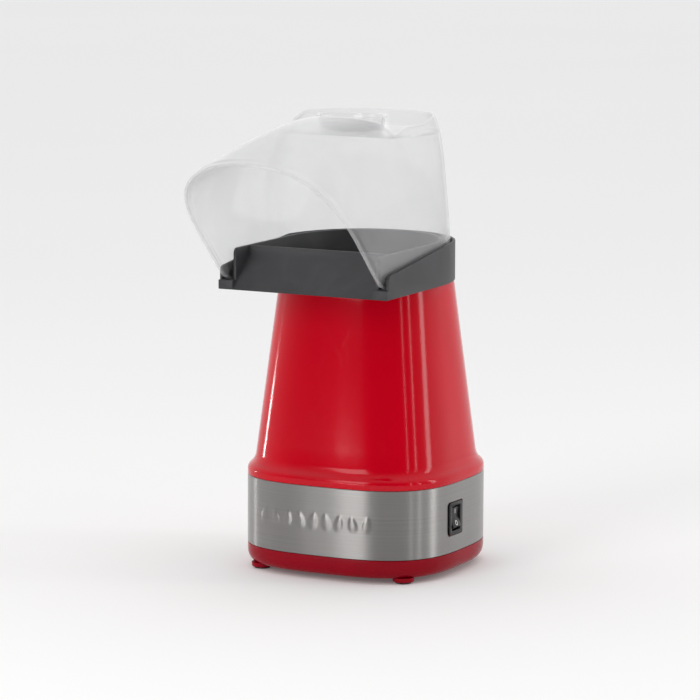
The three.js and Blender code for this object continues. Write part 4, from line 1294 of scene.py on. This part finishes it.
class Hood(SubAssembly):
    """The clear hood: an arched sheet over the chute with a pocket for the cup in its top."""

    @dataclass(frozen=True)
    class Size:
        """Sizes in millimetres; heights are over the hood's foot, and y is the tower's own.

        Attributes:
            bend_y: Where the rear's curve starts.
            spring: Height where the arch starts.
            front_reach: The pocket's front, forward of bend_y.
            rear_rise: How far the crown's line climbs over the pocket.
            lean: How far the rear wall leans forward, between the heights in lean_span.
            mouth_foot: The mouth's edge as (y from the collar's front, height over the foot).
            mouth_rise: The same further up, from the mouth's tip and from its crest.
            rim_front: The rim as (y from the pocket's front, height over the scoop).
            rim_back: The same further back, over the rim.
            line_spread: Share and exponent of the closer spacing behind the mouth.
        """

        sheet: float = 2.2
        bend_y: float = -20
        spring: float = 40.7
        mouth_crest: float = 120.5
        crown_fall: float = 1.6
        front_reach: float = 39
        pocket_half: float = 58
        floor: float = 131.2
        rim: float = 145.2
        scoop: float = 137.7
        rear_rise: float = 20
        lean: float = 26
        lean_span: Pair = (15, 120.2)
        mouth_power: float = 2.37
        front_power: float = 3
        rear_power: float = 4
        plan_power: float = 2.2
        lip: float = 9
        lip_step: float = 0.9
        bead: float = 1.25
        mouth_foot: tuple[Pair, ...] = ((10, -1), (2, 2.6), (-9, 9.7))
        mouth_rise: tuple[Pair, ...] = ((54.6, -64.5), (24.8, -34.2), (6.1, -9.1), (0, 2))
        rim_front: tuple[Pair, ...] = ((0, 4.2), (14, 1), (24, 0), (42, 1.5))
        rim_back: tuple[Pair, ...] = ((56, -1.6), (68, 0))
        rim_blend: Pair = (40, 50)
        line_spread: Pair = (0.68, 2.2)
        line_steps: int = 46
        wall_steps: int = 10
        arch_steps: int = 24
        crown_steps: int = 36
        side_steps: int = 24
        rear_steps: int = 80
        bead_steps: int = 12

    def __init__(self, bench: Bench, palette: Palette) -> None:
        """Reads the hood's box from the frame."""
        super().__init__(bench, palette)
        self.size = size = self.Size()
        self.low, self.high = bench.box("hood")
        self.foot = self.low.z
        self.half = self.high.x
        self.front = size.bend_y - size.front_reach
        self.mouth = self.low.y
        self.spring = self.foot + size.spring
        self.edge_curve = self.mouth_curve()
        self.rim_curve = self.rim_profile()

    def rear_step(self, y: float) -> float:
        """A smooth step from 0 at the pocket's front to 1 behind it."""
        return smooth(y, self.front, -self.front / 5)

    def crown(self, y: float) -> float:
        """Height of the crown over y."""
        size = self.size
        share = max(0.0, (self.front - y) / (self.front - self.mouth))
        roof = lerp(self.high.z - self.foot, size.mouth_crest, share**size.crown_fall)
        return self.foot + roof + size.rear_rise * self.rear_step(y)

    def power(self, y: float) -> float:
        """Exponent of the arch over y."""
        size = self.size
        share = min(1.0, (y - self.mouth) / (self.front - self.mouth))
        rear = (size.rear_power - size.front_power) * self.rear_step(y)
        return lerp(size.mouth_power, size.front_power, share) + rear

    def half_at(self, y: float, z: float) -> float:
        """Half-width of the arch at a height."""
        rise = (z - self.spring) / (self.crown(y) - self.spring)
        if rise <= 0:
            return self.half
        power = self.power(y)
        return self.half * max(0.0, 1 - rise**power) ** (1 / power)

    def rear(self, z: float) -> float:
        """The rear wall's place at a height."""
        size = self.size
        return self.high.y - size.lean * smooth(z - self.foot, *size.lean_span)

    def mouth_curve(self) -> list[Pair]:
        """The mouth's edge in side view, as (y, z)."""
        size, collar_front = self.size, self.bench.box("collar")[0].y
        crest = self.foot + size.mouth_crest
        points = [(collar_front + y, self.foot + z) for y, z in size.mouth_foot]
        points += [(self.mouth + y, crest + z) for y, z in size.mouth_rise]
        return spline(points, 24)

    def mouth_at(self, z: float) -> float:
        """The mouth edge's y at a height."""
        curve = self.edge_curve
        for (y0, z0), (y1, z1) in zip(curve, curve[1:]):
            if z0 <= z <= z1:
                return lerp(y0, y1, (z - z0) / (z1 - z0))
        return curve[0][0] if z < curve[0][1] else curve[-1][0]

    def rim_profile(self) -> list[Pair]:
        """The rim behind the pocket's front in side view, as (y, z)."""
        size = self.size
        points = [(self.front + y, self.foot + size.scoop + z) for y, z in size.rim_front]
        points += [(self.front + y, self.foot + size.rim + z) for y, z in size.rim_back]
        return spline(points, 12)

    def side_height(self, y: float) -> float:
        """Height over the spring line of the pocket opening's side, over y."""
        share, power = self.size.pocket_half / self.half, self.power(y)
        return (self.crown(y) - self.spring) * (1 - share**power) ** (1 / power)

    def top_at(self, y: float) -> float:
        """Height of the side wall's upper edge over y, behind the pocket's front."""
        curve = self.rim_curve
        edge = curve[-1][1]
        for (y0, z0), (y1, z1) in zip(curve, curve[1:]):
            if y0 <= y <= y1:
                edge = lerp(z0, z1, (y - y0) / (y1 - y0))
        start, end = (self.front + reach for reach in self.size.rim_blend)
        if y > end:
            return edge
        opening = self.spring + self.side_height(y)
        return lerp(min(edge, opening), edge, smooth(y, start, end))

    def arch_point(self, angle: float, y: float) -> Point:
        """A point of the arch over y, by its direction from the spring line's middle."""
        rise = self.crown(y) - self.spring
        x, z = oval_point(angle, self.half, rise, self.power(y))
        return (x, y, self.spring + z)

    def column(self, wall: Optional[float], angle: float) -> list[Point]:
        """A line of the roof from the mouth's edge back to the pocket's front.

        Args:
            wall: A height on the upright wall, or None on the arch.
            angle: The direction on the arch.

        Returns:
            Points, with the lip stepped inwards behind a soft crease.
        """
        size = self.size
        if wall is not None:
            start = self.mouth_at(wall)
        else:
            start = solve(
                lambda y: y < self.mouth_at(self.arch_point(angle, y)[2]), self.mouth, self.front
            )
            start = max(start, self.mouth + 0.15)
        spread, exponent = size.line_spread
        points = []
        for i in range(size.line_steps):
            share = i / (size.line_steps - 1)
            distance = (self.front - start) * ((1 - spread) * share + spread * share**exponent)
            y = start + distance
            x, _, z = (self.half, y, wall) if wall is not None else self.arch_point(angle, y)
            away = Vector((1, 0, 0))
            if wall is None:
                away = Vector((x, 0, max(0.0, z - self.hub)))
            inward = away.normalized() * size.lip_step
            inward *= 1 - smooth(distance, size.lip * 0.75, size.lip)
            points.append((x - inward.x, y, z - inward.z))
        return points

    @property
    def hub(self) -> float:
        """The height that the lip's step and the bead face."""
        return self.spring - 20

    def shell(self) -> bpy.types.Object:
        """The arched sheet, its side walls and its rear wall, as one sheet with thickness."""
        size = self.size
        walls = [lerp(self.foot, self.spring, i / size.wall_steps) for i in range(size.wall_steps)]
        last = math.atan2(self.side_height(self.front), size.pocket_half)
        angles = [last * i / size.arch_steps for i in range(size.arch_steps + 1)]
        right = [self.column(z, 0) for z in walls]
        right += [self.column(None, angle) for angle in angles]
        crown = [
            self.column(None, lerp(last, math.pi / 2, i / size.crown_steps))
            for i in range(1, size.crown_steps + 1)
        ]
        lines = right + crown
        lines += mirrored(lines[:-1])
        skin = Skin()
        skin.strip(lines, closed=False)
        self.add_walls(skin, [line[-1][2] for line in right])
        piece = skin.mesh("hood_clear", self.bench)
        sheet = piece.modifiers.new("sheet", "SOLIDIFY")
        sheet.thickness = size.sheet * MM
        sheet.offset = -1
        sheet.use_even_offset = True
        settle(piece)
        bead = self.bead([Vector(line[0]) for line in lines])
        shape = bmesh.new()
        shape.from_mesh(piece.data)
        for name, extra in (("pocket", self.pocket()), ("bead", bead)):
            solid = extra.mesh(name, self.bench)
            shape.from_mesh(solid.data)
            bpy.data.objects.remove(solid)
        shape.to_mesh(piece.data)
        shape.free()
        return piece

    def add_walls(self, skin: Skin, levels: Sequence[float]) -> None:
        """Adds the side walls behind the pocket's front and the rear wall.

        Args:
            skin: The skin that they are added to.
            levels: Heights of the side's points at the pocket's front.
        """
        size = self.size
        shares = [(z - levels[0]) / (levels[-1] - levels[0]) for z in levels]
        side = []
        for i in range(size.side_steps + 1):
            y = lerp(self.front, size.bend_y, i / size.side_steps)
            top = levels[-1] if i == 0 else self.top_at(y)
            heights = [lerp(self.foot, top, share) for share in shares]
            side.append([(self.half_at(y, z), y, z) for z in heights])
        turns = [math.pi * i / size.rear_steps for i in range(1, size.rear_steps)]
        rear = [[self.rear_point(turn, share) for share in shares] for turn in turns]
        skin.strip(side + rear + mirrored(side), closed=False)

    def rear_curve(self, turn: float) -> Pair:
        """Shares of the half-width and of the depth that the rear's curve has in a direction."""
        power = 2 / self.size.plan_power
        across = math.copysign(abs(math.cos(turn)) ** power, math.cos(turn))
        return across, abs(math.sin(turn)) ** power

    def rear_point(self, turn: float, share: float) -> Point:
        """A point of the rear wall.

        Args:
            turn: Direction round the rear, from the right side to the left.
            share: Share of the way from the foot to the rim.

        Returns:
            The point.
        """
        bend = self.size.bend_y
        across, back = self.rear_curve(turn)
        top = self.foot + self.size.rim
        for _ in range(6):
            top = self.top_at(bend + (self.rear(top) - bend) * back)
        z = lerp(self.foot, top, share)
        y = bend + (self.rear(z) - bend) * back
        return (self.half_at(y, z) * across, y, z)

    def bead(self, path: Sequence[Vector]) -> Skin:
        """The rounded bead that runs along the mouth's edge."""
        radius = self.size.bead
        turns = all_round(self.size.bead_steps)
        rows = []
        for i, point in enumerate(path):
            along = (path[min(i + 1, len(path) - 1)] - path[max(i - 1, 0)]).normalized()
            inward = Vector((-point.x, 0, self.hub - point.z))
            inward = (inward - along * inward.dot(along)).normalized()
            back = along.cross(inward)
            back *= math.copysign(1, back.y)
            centre = point + inward * radius + back * radius
            rows.append(
                [centre + (inward * math.cos(t) + back * math.sin(t)) * radius for t in turns]
            )
        return Skin().solid(rows)

    def pocket(self) -> Skin:
        """The pocket's floor and its front wall, each a flat sheet let into the shell."""
        size, bend = self.size, self.size.bend_y
        floor, front_low = self.foot + size.floor, self.front - size.sheet
        inset = size.sheet * 0.5
        places = [lerp(front_low, bend, i / 12) for i in range(13)]
        side = [(self.half_at(y, floor) - inset, y) for y in places]
        rear = []
        for i in range(1, 48):
            across, back = self.rear_curve(math.pi * i / 48)
            y = bend + (self.rear(floor) - inset - bend) * back
            rear.append(((self.half_at(y, floor) - inset) * across, y))
        outline = side + rear + [(-x, y) for x, y in reversed(side)]
        skin = Skin().prism(outline, floor - size.sheet, floor)
        middle = self.front - inset
        start = solve(lambda a: self.arch_point(a, middle)[2] < floor, 0.01, math.pi / 2)
        arch = [self.arch_point(lerp(start, math.pi - start, i / 48), middle) for i in range(49)]
        panel = [(x * 0.992, z - inset) for x, _, z in arch]
        return skin.solid([[(x, y, z) for x, z in panel] for y in (front_low, self.front)])

    def build(self) -> list[bpy.types.Object]:
        """Builds and dresses the pieces."""
        return [self.dress(self.shell(), Slot.CLEAR_HOOD, Body.HOOD, "hood")]


class Cup(SubAssembly):
    """The measuring cup that stands in the hood's pocket."""

    wall: float = 1.6
    rim: float = 2
    steps: int = 112
    foot_insets: Pair = (5, 3.1)
    rim_insets: Pair = (1.6, 1.5)
    middle_inset: float = 16

    def build(self) -> list[bpy.types.Object]:
        """Builds and dresses the pieces."""
        low, high = self.bench.box("measuring_cup")
        centre, half = (low + high) / 2, (high - low) / 2
        rim, wall, turns = high.z - self.rim, self.wall, all_round(self.steps)
        foot, side = self.foot_insets
        outside, inside = self.rim_insets
        profile = section(
            (self.middle_inset, low.z, 0),
            (foot, low.z, 1.6),
            (side, low.z + 2, 2),
            (outside, rim, 0.3),
            (0, rim, 0.4),
            (0, high.z, 0.8),
            (inside + wall, high.z, 0.8),
            (side + wall, low.z + 2 + wall, 2),
            (foot + wall, low.z + wall, 1.6),
            (self.middle_inset, low.z + wall, 0),
            steps=5,
        )
        rows = []
        for inset, z in profile:
            half_x, half_y = half.x - inset, half.y - inset
            oval = [(half_x * math.cos(t), half_y * math.sin(t)) for t in turns]
            rows.append([(centre.x + x, centre.y + y, z) for x, y in oval])
        piece = Skin().solid(rows).mesh("cup_clear", self.bench)
        return [self.dress(piece, Slot.CLEAR_CUP, Body.CUP, "measuring_cup")]


class Switch(SubAssembly):
    """The rocker switch: its bezel, its rocker and the two marks on it."""

    @dataclass(frozen=True)
    class Size:
        """The rocker's sizes in its own frame, with x outwards from its pivot."""

        tilt: float = -8
        depth: float = 6
        half_height: float = 10
        half_width: float = 8
        back: float = -3
        end: float = 1
        face_steps: int = 40
        dip: float = 1.7
        dip_power: float = 1.3
        edge: float = 0.45
        bezel_edge: float = 0.4
        mark_place: float = 5.6
        mark_proud: float = 0.12
        mark_root: float = -0.4
        bar: Pair = (0.9, 4.2)
        ring: float = 2.3
        ring_hole: float = 0.68

    def __init__(self, bench: Bench, palette: Palette, pivot: Sequence[float]) -> None:
        """Keeps the rocker's pivot, given in the frame's metres."""
        super().__init__(bench, palette)
        self.size = self.Size()
        low, high = bench.box("switch_rocker")
        place = bench.own(pivot)
        place.y = (low.y + high.y) / 2
        tilt = Matrix.Rotation(math.radians(self.size.tilt), 4, "Y")
        self.turn = Matrix.Translation(place) @ tilt

    def face(self, z: float) -> float:
        """How far out the rocker's hollow face stands at a height over its pivot."""
        size = self.size
        share = min(1.0, abs(z) / (size.half_height - size.end))
        return size.depth - size.dip * (1 - share) ** size.dip_power

    def rocker(self) -> bpy.types.Object:
        """The rocker with its hollow face and rounded ends."""
        size = self.size
        half, back, flat = size.half_height, size.back, size.half_height - size.end
        levels = [lerp(flat, -flat, i / size.face_steps) for i in range(size.face_steps + 1)]
        corners = [(self.face(z), z, 0) for z in levels]
        corners += [(size.depth - 1.2, -half, 0.9), (0, -half * 0.86, 1), (back, -half * 0.5, 1)]
        corners += [(back, half * 0.5, 1), (0, half * 0.86, 1), (size.depth - 1.2, half, 0.9)]
        outline = rounded(corners)
        sides = (-size.half_width, size.half_width)
        skin = Skin().solid([[(x, y, z) for x, z in outline] for y in sides])
        piece = skin.turned(self.turn).mesh("rocker_cap", self.bench)
        soften(piece, size.edge, 3, 60)
        return self.dress(piece, Slot.BLACK, Body.ROCKER, "switch_rocker")

    def mark(
        self, name: str, outline: Sequence[Pair], centre_z: float, hole: float = 0
    ) -> bpy.types.Object:
        """A white mark moulded into the rocker's face.

        Args:
            name: The piece's name.
            outline: Its outline as (y, z) about its centre.
            centre_z: Its height over the pivot.
            hole: Share of the outline that is left open in its middle, or 0.

        Returns:
            The dressed piece.
        """
        proud, root = self.size.mark_proud, self.size.mark_root

        def layer(share: float, lift: float) -> list[Point]:
            """The outline drawn in by a share and laid on the rocker's face."""
            flat = [(y * share, centre_z + z * share) for y, z in outline]
            return [(self.face(z) + lift, y, z) for y, z in flat]

        skin = Skin()
        if hole:
            skin.ring([layer(1, root), layer(1, proud), layer(hole, proud), layer(hole, root)])
        else:
            skin.solid([layer(1, root), layer(1, proud)])
        piece = skin.turned(self.turn).mesh(name, self.bench)
        return self.dress(piece, Slot.WHITE, Body.ROCKER)

    def build(self) -> list[bpy.types.Object]:
        """Builds and dresses the pieces."""
        size = self.size
        bezel = cast_of("switch_bezel", "bezel_moulding")
        soften(bezel, size.bezel_edge, 3, 50)
        self.dress(bezel, Slot.BLACK, Body.TOWER, "switch_bezel")
        circle = [oval_point(angle, size.ring, size.ring, 2) for angle in all_round(40)]
        on = self.mark("mark_on", rectangle(*size.bar, 0.3), size.mark_place)
        off = self.mark("mark_off", circle, -size.mark_place, size.ring_hole)
        return [bezel, self.rocker(), on, off]


class Chamber(SubAssembly):
    """The drawn popping chamber with its ring of louvres."""

    sheet: float = 1.2
    steps: int = 144
    rim: float = 6
    draft: float = 3.75
    corner: float = 6
    cone: float = 8
    tip: float = 0.6
    louvres: int = 16
    louvre_turn: float = 0.6
    louvre: tuple[float, ...] = (8, 2.2, 14)

    def build(self) -> list[bpy.types.Object]:
        """Builds and dresses the pieces."""
        low, high = self.bench.box("popping_chamber")
        sheet, corner, tip = self.sheet, self.corner, low.z + self.cone
        mouth = high.x - self.rim
        foot = mouth - self.draft
        bend, bend_z = corner * 0.8, low.z + corner * 0.2
        profile = section(
            (self.tip, tip, 0),
            (foot - corner, low.z, 2),
            (foot, bend_z, bend),
            (mouth, high.z - sheet, 0.6),
            (high.x, high.z - sheet, 0.4),
            (high.x, high.z, 0.4),
            (mouth - sheet, high.z, 1.4),
            (foot - sheet, bend_z + sheet, bend),
            (foot - corner, low.z + sheet, 2),
            (self.tip, tip + sheet, 0),
            steps=6,
        )
        piece = Skin().lathe(profile, self.steps).mesh("chamber_fine", self.bench)
        length, width, height = self.louvre
        start, ring = low.z + corner + 3, foot + 0.7
        tool = Skin()
        for angle in all_round(self.louvres):
            centre = (ring * math.cos(angle), ring * math.sin(angle))
            slot = moved(rectangle(length, width, 0.4), angle + self.louvre_turn, centre)
            tool.prism(slot, start, start + height)
        carve(piece, tool, self.bench)
        return [self.dress(piece, Slot.CHAMBER, Body.TOWER, "popping_chamber")]


class Insides(SubAssembly):
    """The nodes that keep their own solids and take finer finishes."""

    def __init__(self, bench: Bench, palette: Palette, frame: dict) -> None:
        """Reads each node's slot from the record."""
        super().__init__(bench, palette)
        self.nodes = frame["nodes"]
        self.slots = {part["node"]: part["material_slot"] for part in frame["record"]["subparts"]}

    def build(self) -> list[bpy.types.Object]:
        """Builds and dresses the pieces."""
        dressed = []
        for name, node in self.nodes.items():
            if node.hide_render:
                continue
            material = self.palette.of(Slot(self.slots[name]))
            if not node.data.materials:
                node.data.materials.append(material)
            for i in range(len(node.data.materials)):
                node.data.materials[i] = material
            dressed.append(node)
        return dressed


# ---- Studio -------------------------------------------------------------------------------


@dataclass(frozen=True)
class Softbox:
    """A soft area light that faces the popcorn maker.

    Attributes:
        azimuth: Direction from the object, in degrees from -y towards +x.
        low: Height of its lower edge, in metres.
        high: Height of its upper edge.
        distance: Metres from the tower's axis.
        width: Metres across.
        power: Watts.
    """

    azimuth: float
    low: float
    high: float
    distance: float
    width: float
    power: float


@dataclass(frozen=True)
class Studio:
    """The camera, the floor and the lights."""

    azimuth: float = 26.824
    elevation: float = 8.793
    roll: float = 0.15
    distance: float = 3.5
    lens: float = 192.55
    sensor: float = 36
    target_z: float = 0.2025
    aside: float = 0.01549
    below: float = 0.00109
    floor_radius: float = 40.0
    glow_towards: Point = (-0.42, 0.9, 0.8)
    glow_span: Pair = (-0.7, 0.65)
    glow_strength: Pair = (0.03, 1.05)

    softboxes: tuple[Softbox, ...] = (
        Softbox(azimuth=-14, low=0.55, high=2.0, distance=2.6, width=1.1, power=24),
        Softbox(azimuth=-13, low=0.0, high=0.09, distance=2.6, width=0.9, power=5),
        Softbox(azimuth=-89, low=0.0, high=0.12, distance=2.4, width=0.16, power=2.4),
        Softbox(azimuth=66, low=0.0, high=1.3, distance=2.4, width=0.08, power=1.8),
        Softbox(azimuth=83, low=0.0, high=1.3, distance=2.4, width=0.12, power=2.8),
        Softbox(azimuth=111, low=0.0, high=1.5, distance=2.4, width=0.36, power=10),
    )

    @staticmethod
    def direction(azimuth: float, elevation: float) -> Vector:
        """A unit vector away from the object."""
        a, e = math.radians(azimuth), math.radians(elevation)
        return Vector((math.sin(a) * math.cos(e), -math.cos(a) * math.cos(e), math.sin(e)))

    def camera(self, bench: Bench) -> None:
        """Makes the camera and aims it a little beside the object's middle."""
        data = bpy.data.cameras.new("camera")
        data.lens = self.lens
        data.sensor_width = self.sensor
        data.clip_end = 100
        camera = linked("camera", data)
        away = self.direction(self.azimuth, self.elevation)
        target = Vector((0, bench.axis_y, self.target_z))
        turn = (-away).to_track_quat("-Z", "Y")
        right, up = turn @ Vector((1, 0, 0)), turn @ Vector((0, 1, 0))
        camera.location = target + away * self.distance
        aim = target - right * self.aside - up * self.below
        look = (aim - camera.location).to_track_quat("-Z", "Y").to_matrix()
        camera.rotation_euler = (look @ Matrix.Rotation(math.radians(self.roll), 3, "Z")).to_euler()
        bpy.context.scene.camera = camera

    def floor(self) -> None:
        """Makes the pale floor."""
        reach = self.floor_radius / MM
        skin = Skin()
        edge = skin.row((reach * math.cos(t), reach * math.sin(t), 0) for t in all_round(96))
        skin.faces = [tuple(edge)]
        piece = skin.mesh("floor", Bench(0))
        piece.data.materials.append(Backdrop().make("floor"))

    def sky(self) -> None:
        """Makes the surround: bright above and behind the object and dim in front of it."""
        world = bpy.data.worlds.new("surround")
        graph = Graph(world)
        direction = graph.node("ShaderNodeTexCoord", output="Generated")
        settings, inputs = {"operation": "DOT_PRODUCT"}, {0: direction, 1: self.glow_towards}
        lean = graph.node("ShaderNodeVectorMath", settings, inputs, "Value")
        strength = lean.between(*self.glow_span, *self.glow_strength)
        inputs = {"Color": (1, 1, 1, 1), "Strength": strength}
        light = graph.node("ShaderNodeBackground", {}, inputs)
        graph.finish(light, "ShaderNodeOutputWorld")
        bpy.context.scene.world = world

    def lights(self, bench: Bench) -> None:
        """Makes the upright softboxes round the object."""
        for number, box in enumerate(self.softboxes):
            data = bpy.data.lights.new(f"softbox_{number + 1}", "AREA")
            data.shape = "RECTANGLE"
            data.size, data.size_y = box.width, box.high - box.low
            data.energy = box.power
            lamp = linked(data.name, data)
            away = self.direction(box.azimuth, 0)
            lamp.location = away * box.distance
            lamp.location += Vector((0, bench.axis_y, (box.low + box.high) / 2))
            lamp.rotation_euler = (-away).to_track_quat("-Z", "Y").to_euler()

    def build(self, bench: Bench) -> None:
        """Makes everything round the object."""
        self.camera(bench)
        self.floor()
        self.sky()
        self.lights(bench)
        bpy.context.scene.view_settings.view_transform = "Standard"


def main() -> None:
    """Builds the pieces in order."""
    logging.basicConfig(level=logging.INFO, format="%(name)s: %(message)s")
    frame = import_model()
    bench = Bench.from_frame()
    palette = Palette()
    pivot = next(joint["pos_m"] for joint in frame["joints"] if joint["name"] == "rocker_tilt")
    assemblies: list[SubAssembly] = [
        Tower(bench, palette),
        Collar(bench, palette),
        Hood(bench, palette),
        Cup(bench, palette),
        Switch(bench, palette, pivot),
        Chamber(bench, palette),
        Insides(bench, palette, frame),
    ]
    for assembly in assemblies:
        for piece in assembly.build():
            LOG.info("%s: %s", type(assembly).__name__, piece.name)
    Studio().build(bench)


if __name__ == "__main__":
    main()
